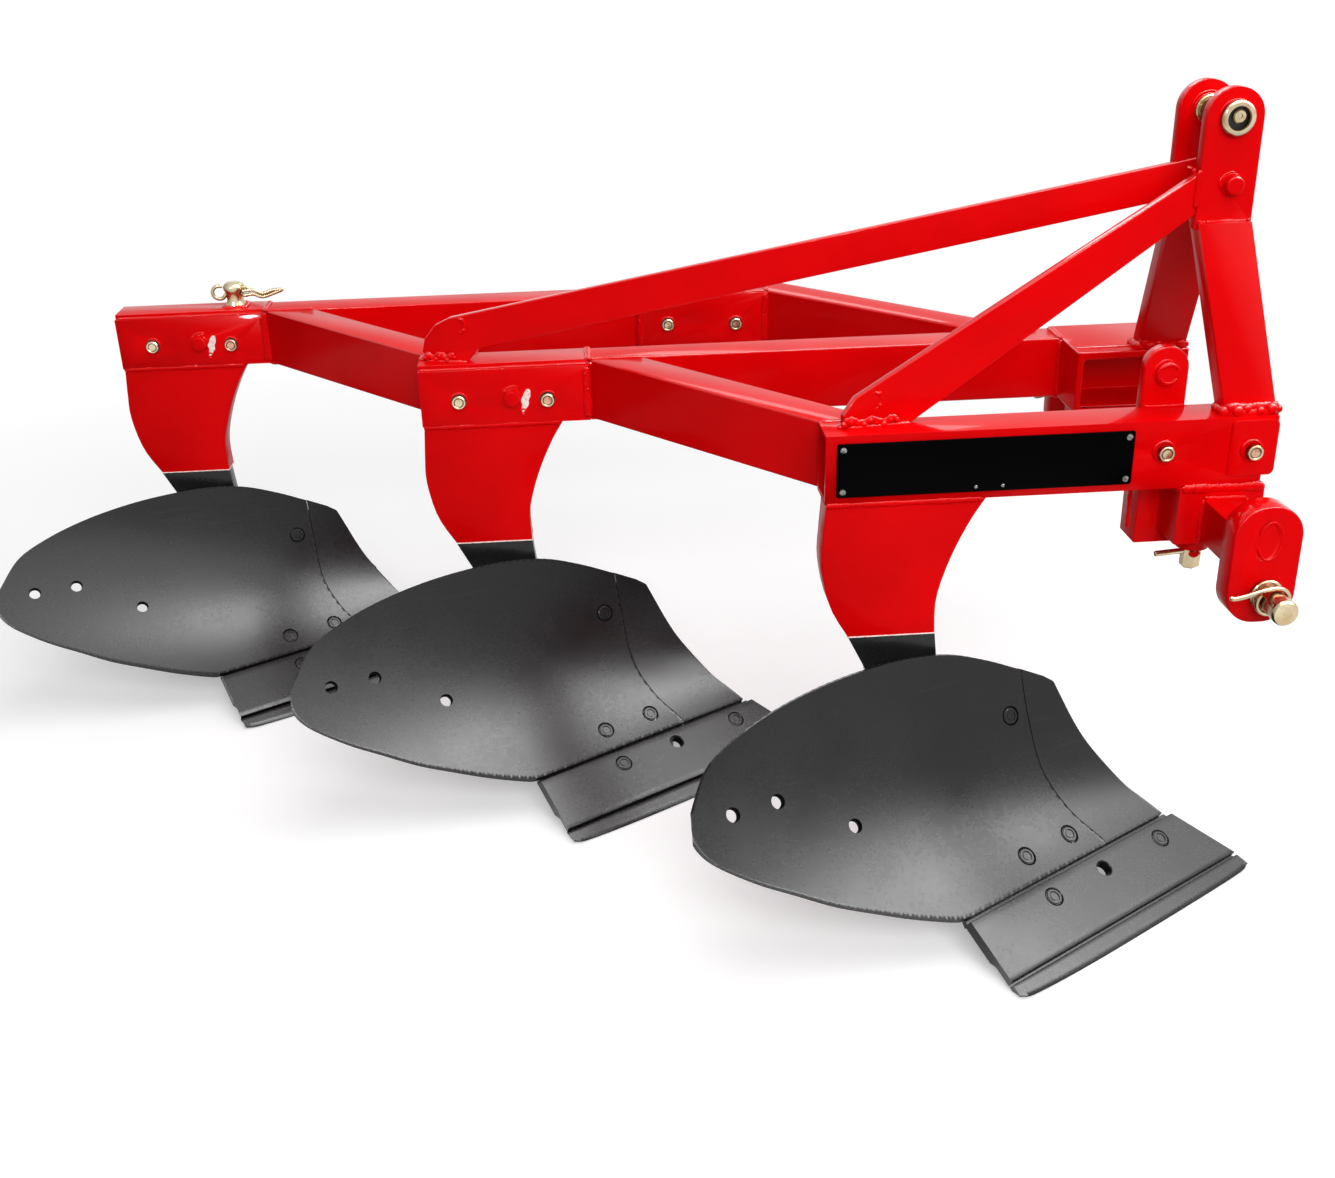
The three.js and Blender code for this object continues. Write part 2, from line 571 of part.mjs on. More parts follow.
const pinEnd = MAST_GAP + 2 * MAST_PLATE;
add('top_link_pin', turned([[0, -3], [6, -3], [6, -6], [11, -6], [11, -11], [17, -11], [17, -GAP],
  [TOP_PIN_R, -GAP], [TOP_PIN_R, pinEnd + 18], [TOP_PIN_R - 3, pinEnd + 22], [0, pinEnd + 22]],
MAST_X, MAST_NEAR, TOP_PIN_Z), ZINC);
add('top_pin_collar', turned([[TOP_PIN_R + GAP, 0], [17, 0], [17, 9], [TOP_PIN_R + GAP, 9], [TOP_PIN_R + GAP, 0]],
  MAST_X, MAST_NEAR + pinEnd + GAP, TOP_PIN_Z), ZINC);
add('mast_bolt', turned([[0, -14], [9, -14], [10, -12], [10, -GAP], [8, -GAP], [8, pinEnd + GAP],
  [11, pinEnd + GAP], [11, pinEnd + 10], [0, pinEnd + 10]], MAST_X + 4, MAST_NEAR, TOP_PIN_Z - 71), RED);

// Short stay: mast to the rear of the front beam.
const shortFrom = [BOX_REAR + 23, FRONT_FAR - 22];
const shortTo = [MAST_X - mastHalf, MAST_NEAR + 7];
const shortRun = Math.hypot(shortTo[0] - shortFrom[0], shortTo[1] - shortFrom[1]);
const shortBar = standingBar(shortFrom, shortTo, STAY_THICK, [[0, BEAM_TOP], [80, BEAM_TOP], [shortRun + 8, 772],
  [shortRun + 8, 816], [14, 586], [0, 566]]);
const mastRear = MAST_X - mastHalf;
add('short_stay', cut(shortBar, block(mastRear, mastRear + 60, 300, 460, 700, 900)), RED);

// Long stay: mast to the top of the second tube.
const longFrom = [midX - 166, midNear + 32];
const longTo = aimPast(longFrom, [mastRear, FAR_PLATE - GAP], STAY_THICK, mastRear + 20);
const longRun = Math.hypot(longTo[0] - longFrom[0], longTo[1] - longFrom[1]);
add('long_stay', standingBar(longFrom, longTo, STAY_THICK, [[8, BEAM_TOP], [62, BEAM_TOP], [78, 570],
  [longRun, 778], [longRun, 819], [40, 610], [20, 600], [4, 580], [0, 564]]), RED);

// ---------------------------------------------------------------- lower hitch
// Clamp bar that hooks up behind the front beam.
const lugX = 230;
const clampBar = join(slab(roundedPlate(lugX, 26, BEAM_BOTTOM - 20, 622, 0, 26), FRONT_FAR, FRONT_FAR + 16),
  block(lugX - 17, lugX + 37, FRONT_FAR, FRONT_FAR + 48, 380, BEAM_BOTTOM),
  rod('y', lugX, FRONT_FAR - 9, 592, 14, 12));
add('clamp_bar', clampBar, RED);

const nearStubEnd = HITCH_SHOULDER + DROP_PLATE;
const farShoulder = HITCH_SHOULDER + HITCH_SPAN;
const stubX0 = HITCH_X - STUB / 2 + 1;
function makeSleeve(y0, y1, lockX) {
  const shell = block(stubX0 - 30, stubX0 + STUB + 20, y0, y1, STUB_Z - 5, BEAM_BOTTOM);
  const bore = block(stubX0 - GAP, stubX0 + STUB + GAP, y0 - 1, y1 + 1, STUB_Z - GAP, STUB_Z + STUB + GAP);
  const collar = rod('z', lockX, (y0 + y1) / 2, STUB_Z - 4, LOCK_COLLAR_R, -15);
  return cut(join(shell, collar), bore, rod('z', lockX, (y0 + y1) / 2, STUB_Z + 1, 10 + GAP, -30));
}
const lockX = stubX0 + 4;
add('hitch_sleeve_near', makeSleeve(FRONT_NEAR - 2, FRONT_FAR, lockX), RED);
add('hitch_sleeve_far', makeSleeve(CROSS_FAR - 62, CROSS_FAR - 2, lockX), RED);

function makeLock(y) {
  return join(rod('z', lockX, y, STUB_Z - GAP, 10, -46), rod('x', lockX - 50, y, 381, 2.5, 50, 12));
}
add('lock_pin_near', makeLock((FRONT_NEAR - 2 + FRONT_FAR) / 2), ZINC);
add('lock_pin_far', makeLock(CROSS_FAR - 32), ZINC);

const oval = Array.from({ length: SEG }, (_, i) => {
  const turn = (2 * Math.PI * i) / SEG;
  return [HITCH_X - 2 + OVAL.halfWide * Math.cos(turn), OVAL.z + OVAL.halfTall * Math.sin(turn)];
});
function makeArm(y0, y1, plate0, face) {
  const stub = block(stubX0, stubX0 + STUB, y0, y1, STUB_Z, STUB_Z + STUB);
  const plateRise = slab(roundedPlate(HITCH_X, DROP_HALF, DROP_BOTTOM, DROP_TOP, 34, 36), plate0, plate0 + DROP_PLATE);
  const bore = rod('y', LOWER_PIN_X, plate0 - LOWER_PIN_TAIL - 1, LOWER_PIN_Z, LOWER_PIN_R + GAP,
    DROP_PLATE + 2 * LOWER_PIN_TAIL + 2);
  const recess = slab(oval, face - OVAL.deep, face + OVAL.deep);
  return cut(join(stub, plateRise), bore, recess);
}
add('hitch_arm_near', makeArm(nearStubEnd - 1, FRONT_FAR + 10, HITCH_SHOULDER, HITCH_SHOULDER), RED);
const farDrop = farShoulder - DROP_PLATE;
add('hitch_arm_far', makeArm(CROSS_FAR - 70, farDrop + 1, farDrop, farShoulder), RED);

// Lower link pins, each with a shoulder ring and a linch pin behind its tip.
function makePin(face, way) {
  const profile = [[0, -LOWER_PIN_REACH], [LOWER_PIN_R - 2, -LOWER_PIN_REACH], [LOWER_PIN_R, -LOWER_PIN_REACH + 2],
    [LOWER_PIN_R, -8], [LOWER_PIN_R + 4, -8], [LOWER_PIN_R + 4, -GAP], [LOWER_PIN_R, -GAP],
    [LOWER_PIN_R, DROP_PLATE + LOWER_PIN_TAIL], [0, DROP_PLATE + LOWER_PIN_TAIL]];
  return turned(profile.map(([r, d]) => [r, d * way]), LOWER_PIN_X, face, LOWER_PIN_Z);
}
function makeLinch(y) {
  const sides = 20;
  const inner = (LOWER_PIN_R + GAP) / (Math.cos(LINCH_TILT) * Math.cos(Math.PI / sides));
  const ring = new THREE.TorusGeometry(inner + LINCH_WIRE, LINCH_WIRE, 8, sides);
  ring.rotateX(Math.PI / 2 - LINCH_TILT);
  ring.translate(LOWER_PIN_X, y, LOWER_PIN_Z);
  const legEnd = LOWER_PIN_X - inner - LINCH_WIRE / 2;
  const leg = rod('x', legEnd - LINCH_LEG, y, LOWER_PIN_Z - 2, 2.6, LINCH_LEG, 12);
  return join(toSolid(ring), leg);
}
add('lower_link_pin_near', makePin(HITCH_SHOULDER, 1), ZINC);
add('lower_link_pin_far', makePin(farShoulder, -1), ZINC);
add('linch_pin_near', makeLinch(HITCH_SHOULDER - 22), ZINC);
add('linch_pin_far', makeLinch(farShoulder + 22), ZINC);

// Upright pin on the rear tube with its clip.
const rearPin = join(rod('z', farX + 2, farY + BEAM_NEAR + 32, BEAM_TOP - 26, 14, 62),
  rod('x', farX + 2, farY + BEAM_NEAR + 32, BEAM_TOP + 22, 3.2, 72, 12));
add('rear_pin', rearPin, ZINC);

// ---------------------------------------------------------------- centre over the floor
const bounds = new THREE.Box3().setFromObject(group);
const centre = bounds.getCenter(new THREE.Vector3());
for (const mesh of group.children) mesh.geometry.translate(-centre.x, -centre.y, -bounds.min.z);

export default group;
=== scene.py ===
"""Moldboard plough: finishes, welds, fastenings and smooth plough bodies around the fixed frame."""
import json
import math

import bmesh
import bpy
import numpy as np
from mathutils import Euler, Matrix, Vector


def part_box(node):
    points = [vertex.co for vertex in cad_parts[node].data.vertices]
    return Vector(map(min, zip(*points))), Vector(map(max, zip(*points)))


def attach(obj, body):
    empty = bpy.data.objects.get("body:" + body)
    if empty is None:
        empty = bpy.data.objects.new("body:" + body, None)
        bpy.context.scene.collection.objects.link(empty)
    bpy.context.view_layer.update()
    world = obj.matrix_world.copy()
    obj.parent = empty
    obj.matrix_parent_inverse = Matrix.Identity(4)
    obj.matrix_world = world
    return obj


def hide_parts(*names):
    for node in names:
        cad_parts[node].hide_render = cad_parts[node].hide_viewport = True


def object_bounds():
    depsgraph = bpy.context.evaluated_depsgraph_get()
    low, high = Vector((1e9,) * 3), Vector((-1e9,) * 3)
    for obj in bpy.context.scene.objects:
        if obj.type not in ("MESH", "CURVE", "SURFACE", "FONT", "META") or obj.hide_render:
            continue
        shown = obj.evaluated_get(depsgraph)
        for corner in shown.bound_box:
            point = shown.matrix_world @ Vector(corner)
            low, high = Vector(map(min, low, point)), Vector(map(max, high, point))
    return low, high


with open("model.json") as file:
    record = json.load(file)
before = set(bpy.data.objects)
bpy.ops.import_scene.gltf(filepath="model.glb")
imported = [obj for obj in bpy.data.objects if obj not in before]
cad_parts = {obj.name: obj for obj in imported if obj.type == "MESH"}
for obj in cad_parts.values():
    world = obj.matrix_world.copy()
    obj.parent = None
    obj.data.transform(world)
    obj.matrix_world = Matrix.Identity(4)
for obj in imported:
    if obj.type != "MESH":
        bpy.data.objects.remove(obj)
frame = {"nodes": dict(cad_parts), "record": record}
cad_box = [list(corner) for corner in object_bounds()]
NODES = frame["nodes"]
MM = 0.001

# -------------------- places, in millimetres from a body's share point
BEAM_BOTTOM, BEAM_TOP = (c.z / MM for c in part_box("middle_beam"))
BEAM_REAR, LEG_NEAR = -173, 303
FIRST = np.array([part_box("front_beam")[0].x / MM - BEAM_REAR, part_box("leg_1")[0].y / MM - LEG_NEAR, 0.0])
STEP = [np.array(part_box(f"leg_{i}")[0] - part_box("leg_1")[0]) / MM for i in (1, 2, 3)]
PLATE_NEAR = 301
MAST_FACE = {"mast_near": 375, "mast_far": 452}
TOP_PIN = (282, MAST_FACE["mast_near"], 870)
MAST_BOLT = (286, MAST_FACE["mast_near"], 799)
LUG_BOLT = (230, 347, 592)
ARM_FACE = {"near": 180, "far": 863}
LOWER_PIN = (297, 389)
LOCK_PIN_Y = {"near": 328, "far": 690}
REAR_PIN = (-962, 1041, 0)
BOSS = (-52, PLATE_NEAR, 506)
PAINT_END = [(-142, 303, 300), (-38, 303, 300), (-38, 341, 300), (-142, 341, 300)]


def place(points, body=0):
    """Body millimetres to frame metres: add the body's origin, then scale."""
    return (np.asarray(points, float) + FIRST + STEP[body]) * MM


# -------------------- shader helpers
class Nodes:
    """A node tree and short ways to add to it; every input takes a socket to link or a constant to hold."""

    def __init__(self, tree):
        self.tree = tree

    def feed(self, slot, value):
        """Link a socket to an input, or set the input's constant."""
        if isinstance(value, bpy.types.NodeSocket):
            self.tree.links.new(value, slot)
        else:
            slot.default_value = value

    def add(self, kind, inputs=None, **settings):
        """A node with its settings, and its inputs by name or number."""
        made = self.tree.nodes.new(kind)
        for key, value in settings.items():
            setattr(made, key, value)
        for key, value in (inputs or {}).items():
            self.feed(made.inputs[key], value)
        return made

    def surface(self, **inputs):
        """Feed the Principled shader; a space in an input's name is written as an underscore."""
        for key, value in inputs.items():
            self.feed(self.tree.nodes["Principled BSDF"].inputs[key.replace("_", " ")], value)

    def math(self, operation, a, b):
        """One arithmetic step."""
        return self.add("ShaderNodeMath", {0: a, 1: b}, operation=operation).outputs[0]

    def times(self, a, b):
        """Product."""
        return self.math("MULTIPLY", a, b)

    def plus(self, a, b):
        """Sum."""
        return self.math("ADD", a, b)

    def noise(self, coords, scale, detail=3.0, rough=0.5):
        """Fractal noise value at a scale per metre."""
        inputs = {"Scale": scale, "Detail": detail, "Roughness": rough, "Vector": coords}
        return self.add("ShaderNodeTexNoise", inputs).outputs["Fac"]

    def ramp(self, value, low, high):
        """0 below low, 1 above high."""
        inputs = {"From Min": low, "From Max": high, "Value": value}
        return self.add("ShaderNodeMapRange", inputs, clamp=True).outputs["Result"]

    def blend(self, factor, low, high):
        """Two colours mixed by a factor."""
        low, high = ((*side, 1) if isinstance(side, tuple) else side for side in (low, high))
        return self.add("ShaderNodeMix", {0: factor, 6: low, 7: high}, data_type="RGBA").outputs[2]

    def normal(self, axis):
        """One part of the surface's direction, from -1 to 1."""
        direction = self.add("ShaderNodeNewGeometry").outputs["Normal"]
        return self.add("ShaderNodeSeparateXYZ", {0: direction}).outputs[axis]


def make_coat_group():
    """Sprayed coat: broad clouding, thin downward runs, orange peel and a few small specks."""
    group = bpy.data.node_groups.new("sprayed_coat", "ShaderNodeTree")
    sides = (("Vector", "INPUT", "Vector"), ("Peel", "INPUT", "Float"), ("Runs", "INPUT", "Float"),
             ("Cloud", "OUTPUT", "Float"), ("Specks", "OUTPUT", "Float"), ("Height", "OUTPUT", "Float"))
    for name, way, kind in sides:
        group.interface.new_socket(name, in_out=way, socket_type="NodeSocket" + kind)
    g = Nodes(group)
    start = g.add("NodeGroupInput").outputs
    coords = start["Vector"]
    stretched = g.add("ShaderNodeMapping", {"Scale": (70, 70, 7), "Vector": coords}).outputs[0]
    runs = g.times(g.noise(stretched, 1, 2), start["Runs"])
    peel = g.times(g.noise(coords, 420, 1, 0.4), start["Peel"])
    wave = g.times(g.noise(coords, 26, 2, 0.5), 0.35)
    specks = g.ramp(g.noise(coords, 430, 1, 0.6), 0.77, 0.82)
    height = g.plus(g.plus(peel, runs), wave)
    g.add("NodeGroupOutput", {"Cloud": g.noise(coords, 9, 4, 0.55), "Specks": specks, "Height": height})
    return group


COAT = make_coat_group()


def start_material(name, peel, runs, bump, **plain):
    """Material with the sprayed coat group and its bump; plain holds constants of its Principled shader."""
    made = bpy.data.materials.new(name)
    made.use_nodes = True
    s = Nodes(made.node_tree)
    coords = s.add("ShaderNodeTexCoord").outputs["Object"]
    coat = s.add("ShaderNodeGroup", {"Peel": peel, "Runs": runs, "Vector": coords}, node_tree=COAT).outputs
    bumps = s.add("ShaderNodeBump", {"Strength": bump, "Distance": 0.0006, "Height": coat["Height"]})
    s.surface(Normal=bumps.outputs[0], **plain)
    return made, s, coords, coat


def red_enamel():
    """Gloss red enamel, darker in broad clouds; its clear coat lies thickest on rounded top edges."""
    made, s, _, coat = start_material("red_enamel", 0.2, 0.25, 0.16, Specular_IOR_Level=0.03,
                                      Coat_Roughness=0.07)
    tone = s.ramp(coat["Cloud"], 0.25, 0.75)
    colour = s.blend(tone, (0.68, 0.0006, 0.0016), (0.80, 0.0008, 0.0020))
    colour = s.blend(s.times(coat["Specks"], 0.5), colour, (0.36, 0.001, 0.002))
    upward = s.normal("Z")
    level = s.times(s.ramp(upward, 0.9, 0.995), 0.74)
    rounded_top = s.math("SUBTRACT", s.times(s.ramp(upward, 0.2, 0.6), 0.95), level)
    slant = s.add("ShaderNodeLayerWeight", {"Blend": 0.5}).outputs["Facing"]
    gloss = s.plus(s.plus(rounded_top, s.times(s.ramp(slant, 0.55, 0.95), 0.05)), 0.03)
    s.surface(Base_Color=colour, Roughness=s.plus(s.times(tone, -0.06), 0.34), Coat_Weight=gloss)
    return made


def plough_black():
    """Satin black on rolled plate: cloudy sheen, fine grain, faint scuffs along the flow of soil."""
    made, s, coords, coat = start_material("plough_black", 0.5, 0.1, 0.12, Specular_IOR_Level=0.34)
    tone = s.ramp(coat["Cloud"], 0.32, 0.68)
    flow = {"Scale": (12, 12, 190), "Rotation": (0.2, 0.35, 0.1), "Vector": coords}
    scuffs = s.ramp(s.noise(s.add("ShaderNodeMapping", flow).outputs[0], 1, 3, 0.6), 0.62, 0.80)
    colour = s.blend(tone, (0.0070, 0.0070, 0.0076), (0.0100, 0.0100, 0.0107))
    colour = s.blend(s.times(scuffs, 0.35), colour, (0.034, 0.034, 0.036))
    colour = s.blend(coat["Specks"], colour, (0.050, 0.050, 0.052))
    grain = s.times(s.noise(coords, 150, 3, 0.7), 0.12)
    s.surface(Base_Color=colour, Roughness=s.plus(s.plus(s.times(tone, 0.06), grain), 0.18))
    return made


def yellow_zinc(name="yellow_zinc", warm=(0.55, 0.42, 0.22), pale=(0.74, 0.65, 0.45), pink=(0.62, 0.38, 0.24)):
    """Passivated zinc: warm metal drifting to pale and to pink, with painted shade that darkens undersides and
    rear faces.
    """
    made, s, coords, _ = start_material(name, 0.5, 0.0, 0.10, Metallic=1.0)
    colour = s.blend(s.ramp(s.noise(coords, 55, 3), 0.32, 0.66), warm, pale)
    colour = s.blend(s.ramp(s.noise(coords, 90, 2), 0.56, 0.74), colour, pink)
    # Painted shade: faces turned down or to the rear are blended towards a dark warm colour, standing in for
    # the shade they would get.
    below = s.times(s.ramp(s.normal("Z"), 0.05, -0.8), 0.75)
    rearward = s.times(s.ramp(s.normal("X"), 0.0, -0.9), 0.65)
    colour = s.blend(s.math("MAXIMUM", below, rearward), colour, tuple(0.18 * c for c in warm))
    s.surface(Base_Color=colour, Roughness=s.plus(s.times(s.noise(coords, 300, 2), 0.2), 0.12))
    return made


def plate_black():
    """Blank gloss nameplate."""
    made, s, _, coat = start_material("plate_black", 0.1, 0.0, 0.05, Specular_IOR_Level=0.02)
    tone = s.ramp(coat["Cloud"], 0.3, 0.7)
    s.surface(Base_Color=s.blend(tone, (0.0003, 0.0003, 0.0004), (0.0008, 0.0008, 0.0009)),
              Roughness=s.plus(s.times(tone, 0.05), 0.20))
    return made


def bare_primer():
    """Pale primer where the enamel has flaked."""
    made, s, coords, _ = start_material("bare_primer", 0.8, 0.0, 0.4)
    tone = s.ramp(s.noise(coords, 240, 3), 0.32, 0.55)
    s.surface(Base_Color=s.blend(tone, (0.80, 0.48, 0.42), (0.95, 0.90, 0.84)),
              Roughness=s.plus(s.times(tone, 0.2), 0.45))
    return made


RED = red_enamel()
BLACK = plough_black()
ZINC = yellow_zinc()
# Pink zinc and the dark screw metal come from the same function and carry its painted shade on undersides and
# rear faces.
COPPER = yellow_zinc("pink_zinc", (0.56, 0.27, 0.17), (0.74, 0.46, 0.32), (0.40, 0.14, 0.10))
PLATE = plate_black()
PRIMER = bare_primer()
SCREW = yellow_zinc("dark_screw", (0.10, 0.10, 0.10), (0.34, 0.34, 0.33), (0.05, 0.05, 0.05))
FINISH = {"red_paint": RED, "black_paint": BLACK, "yellow_zinc": ZINC, "nameplate_black": PLATE}
SLOT_OF = {row["node"]: row["material_slot"] for row in frame["record"]["subparts"]}


# -------------------- mesh helpers
def linked(name, mesh):
    """A new object in the scene."""
    made = bpy.data.objects.new(name, mesh)
    bpy.context.scene.collection.objects.link(made)
    return made


def mesh_of(name, verts, faces):
    """Smooth-shaded mesh data from points and faces."""
    mesh = bpy.data.meshes.new(name)
    mesh.from_pydata(np.asarray(verts).tolist(), [], [list(f) for f in faces])
    mesh.shade_smooth()
    return mesh


def riding(name, mesh, material, node_names=()):
    """A mesh in frame metres as an object that rides on the root body, in place of the nodes that are named."""
    mesh.materials.clear()
    mesh.materials.append(material)
    mesh.update()
    made = linked(name, mesh)
    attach(made, "root")
    if node_names:
        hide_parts(*node_names)
    return made


def add_bevel(target, width, segments=2, angle=32):
    """Rounded edges where faces meet more sharply than an angle, in millimetres."""
    bevel = target.modifiers.new("edges", "BEVEL")
    bevel.width = width * MM
    bevel.segments = segments
    bevel.limit_method = "ANGLE"
    bevel.angle_limit = math.radians(angle)
    bevel.harden_normals = True
    bevel.use_clamp_overlap = True
    bevel.miter_outer = "MITER_ARC"
    return bevel


def merged(node_name):
    """The frame node's own solid as a working mesh, its points merged and its flat faces joined."""
    work = bmesh.new()
    work.from_mesh(NODES[node_name].data)
    bmesh.ops.remove_doubles(work, verts=work.verts, dist=2e-5)
    bmesh.ops.dissolve_limit(work, angle_limit=math.radians(0.6), verts=work.verts, edges=work.edges)
    return work


def finished_copy(node_name, width):
    """The frame node's own solid with rounded edges."""
    mesh = NODES[node_name].data.copy()
    work = merged(node_name)
    work.to_mesh(mesh)
    work.free()
    mesh.shade_smooth()
    made = riding(node_name + "_finished", mesh, FINISH[SLOT_OF[node_name]], [node_name])
    add_bevel(made, width)


def grid_faces(rows, columns, close_columns=False):
    """Quads of a grid whose vertices run column by column along each row."""
    r = np.arange(rows - 1)
    c = np.arange(columns if close_columns else columns - 1)
    r0, c0 = [a.ravel() for a in np.meshgrid(r, c, indexing="ij")]
    r1, c1 = r0 + 1, (c0 + 1) % columns
    return np.stack([r0 * columns + c0, r1 * columns + c0, r1 * columns + c1, r0 * columns + c1], 1)


def resample(points, count):
    """Points at equal steps of length along a polyline."""
    points = np.asarray(points, float)
    run = np.r_[0, np.cumsum(np.linalg.norm(np.diff(points, axis=0), axis=1))]
    at = np.linspace(0, run[-1], count)
    return np.stack([np.interp(at, run, points[:, k]) for k in range(points.shape[1])], 1)


def rounded(points, count):
    """Smooth curve through points: a centripetal Catmull-Rom spline, then equal steps of length."""
    p = np.asarray(points, float)
    p = np.vstack([2 * p[0] - p[1], p, 2 * p[-1] - p[-2]])
    t = np.linspace(0, 1, 24, endpoint=False)[:, None]
    parts = []
    for a, b, c, d in zip(p[:-3], p[1:-2], p[2:-1], p[3:]):
        parts.append(0.5 * (2 * b + (c - a) * t + (2 * a - 5 * b + 4 * c - d) * t ** 2
                            + (3 * b - a - 3 * c + d) * t ** 3))
    return resample(np.vstack(parts + [p[-2:-1]]), count)


def oriented(verts, faces):
    """Faces of a closed solid turned to point out: the signed volume of fans about the origin is positive."""
    verts = np.asarray(verts, float)
    volume = 0.0
    for face in faces:
        fan = verts[list(face)]
        volume += np.einsum("ij,ij->", np.cross(fan[1:-1], fan[2:]), np.broadcast_to(fan[0], fan[2:].shape))
    return verts, [tuple(f)[::-1] for f in faces] if volume < 0 else [tuple(f) for f in faces]


def turned(profile, at, axis, sides):
    """Turned solid: pairs of radius and distance along an axis, spun round it, with flat ends."""
    axis = np.asarray(axis, float) / np.linalg.norm(axis)
    side = np.cross(axis, (0, 0, 1) if abs(axis[2]) < 0.9 else (1, 0, 0))
    side /= np.linalg.norm(side)
    angle = np.linspace(0, 2 * np.pi, sides, endpoint=False)[None, :, None]
    radius, along = np.asarray(profile, float).T[:, :, None, None]
    spun = radius * (np.cos(angle) * side + np.sin(angle) * np.cross(axis, side)) + along * axis
    verts = (spun + np.asarray(at, float)).reshape(-1, 3)
    rows = len(profile)
    faces = grid_faces(rows, sides, close_columns=True).tolist()
    faces += [list(range(sides))[::-1], list(range((rows - 1) * sides, rows * sides))]
    return oriented(verts, faces)


def swept(path, wide, tall, up, across=12):
    """Bar along a path: ellipses square to its tangent, half as wide and as tall as given, tall towards up."""
    path = np.asarray(path, float)
    ahead = np.gradient(path, axis=0)
    ahead /= np.linalg.norm(ahead, axis=1, keepdims=True)
    side = np.cross(np.broadcast_to(up, path.shape), ahead)
    side /= np.linalg.norm(side, axis=1, keepdims=True)
    rise = np.cross(ahead, side)
    angle = np.linspace(0, 2 * np.pi, across, endpoint=False)
    wide, tall = (np.broadcast_to(a, len(path))[:, None] if np.ndim(a) < 2 else a for a in (wide, tall))
    verts = (path[:, None] + (wide * np.cos(angle))[..., None] * side[:, None]
             + (tall * np.sin(angle))[..., None] * rise[:, None]).reshape(-1, 3)
    faces = grid_faces(len(path), across, close_columns=True).tolist()
    last = (len(path) - 1) * across
    faces += [list(range(across))[::-1], list(range(last, last + across))]
    return oriented(verts, faces)


def bead(corners, up, half, lift, seed):
    """Weld bead along a polyline: rounded rings that swell at each ripple, lean forward and wander in width."""
    corners = np.asarray(corners, float)
    length = np.linalg.norm(np.diff(corners, axis=0), axis=1).sum()
    path = resample(corners, max(8, int(length / 1.3)))
    s = np.linspace(0, length, len(path))[:, None]
    angle = np.linspace(0, 2 * np.pi, 12, endpoint=False)[None]
    phase = seed * 1.7
    lean = s + 1.5 * np.sin(angle)
    ripple = 1 + 0.09 * np.cos(2 * np.pi * lean / 4.6 + phase) + 0.05 * np.sin(lean / 1.9 + 2 * angle + phase)
    wander = 1 + 0.11 * np.sin(s / 11 + phase) + 0.08 * np.sin(s / 4.7 + 2.3 * phase)
    ends = np.clip(np.minimum(s, length - s) / half, 0, 1)
    taper = 0.35 + 0.65 * np.sqrt(ends * (2 - ends))
    return swept(path, half * ripple * wander * taper, lift * ripple * wander * taper, up)


def joined(parts):
    """Several solids as one list of vertices and one of faces."""
    verts, faces, start = [], [], 0
    for v, f in parts:
        verts.append(v)
        faces += [tuple(np.asarray(face) + start) for face in f]
        start += len(v)
    return np.vstack(verts), faces


def baked(verts, faces, cutters, width, angle=40):
    """Mesh data of a solid with rounded rims, less the cutters, sharp only where faces meet steeply."""
    solid = linked("solid", mesh_of("solid", verts, faces))
    made = [solid]
    if width:
        add_bevel(solid, width / MM, 3, angle).harden_normals = False
    if cutters:
        made.append(linked("cutter", mesh_of("cutter", *joined(cutters))))
        cut = solid.modifiers.new("holes", "BOOLEAN")
        cut.operation, cut.solver, cut.object = "DIFFERENCE", "EXACT", made[1]
    graph = bpy.context.evaluated_depsgraph_get()
    result = bpy.data.meshes.new_from_object(solid.evaluated_get(graph))
    for scrap in made:
        bpy.data.objects.remove(scrap)
    result.shade_smooth()
    result.set_sharp_from_angle(angle=math.radians(34))
    return result


def put(name, mesh, body, node_names=()):
    """A black copy of body-millimetre mesh data, placed on one body and riding on the root."""
    mesh = mesh.copy()
    spots = np.empty(len(mesh.vertices) * 3)
    mesh.vertices.foreach_get("co", spots)
    mesh.vertices.foreach_set("co", place(spots.reshape(-1, 3), body).ravel())
    riding(name, mesh, BLACK, node_names)


# -------------------- floor, light, camera
WORLD_FILL = 0.25
WHITE = (1, 1, 1, 1)
FLOOR_HALF, FLOOR_DROP = 60, -0.0008
FADE_START, FADE_END = 1.1, 2.2
SENSOR = 36
CAMERA_AT, CAMERA_TURN = (0.0351, -1.8087, 1.1014), (65.286, 1.467, -3.970)
LENS_TO_SENSOR = 1500 / 1335


def shows_white(s):
    """1 for camera, glossy and transmission rays, which see the white backdrop."""
    path = s.add("ShaderNodeLightPath").outputs
    seen = s.math("MAXIMUM", path["Is Camera Ray"], path["Is Glossy Ray"])
    return s.math("MAXIMUM", seen, path["Is Transmission Ray"])


def mix_shaders(s, factor, low, high):
    """Two shaders mixed by a factor."""
    return s.add("ShaderNodeMixShader", {0: factor, 1: low, 2: high}).outputs[0]


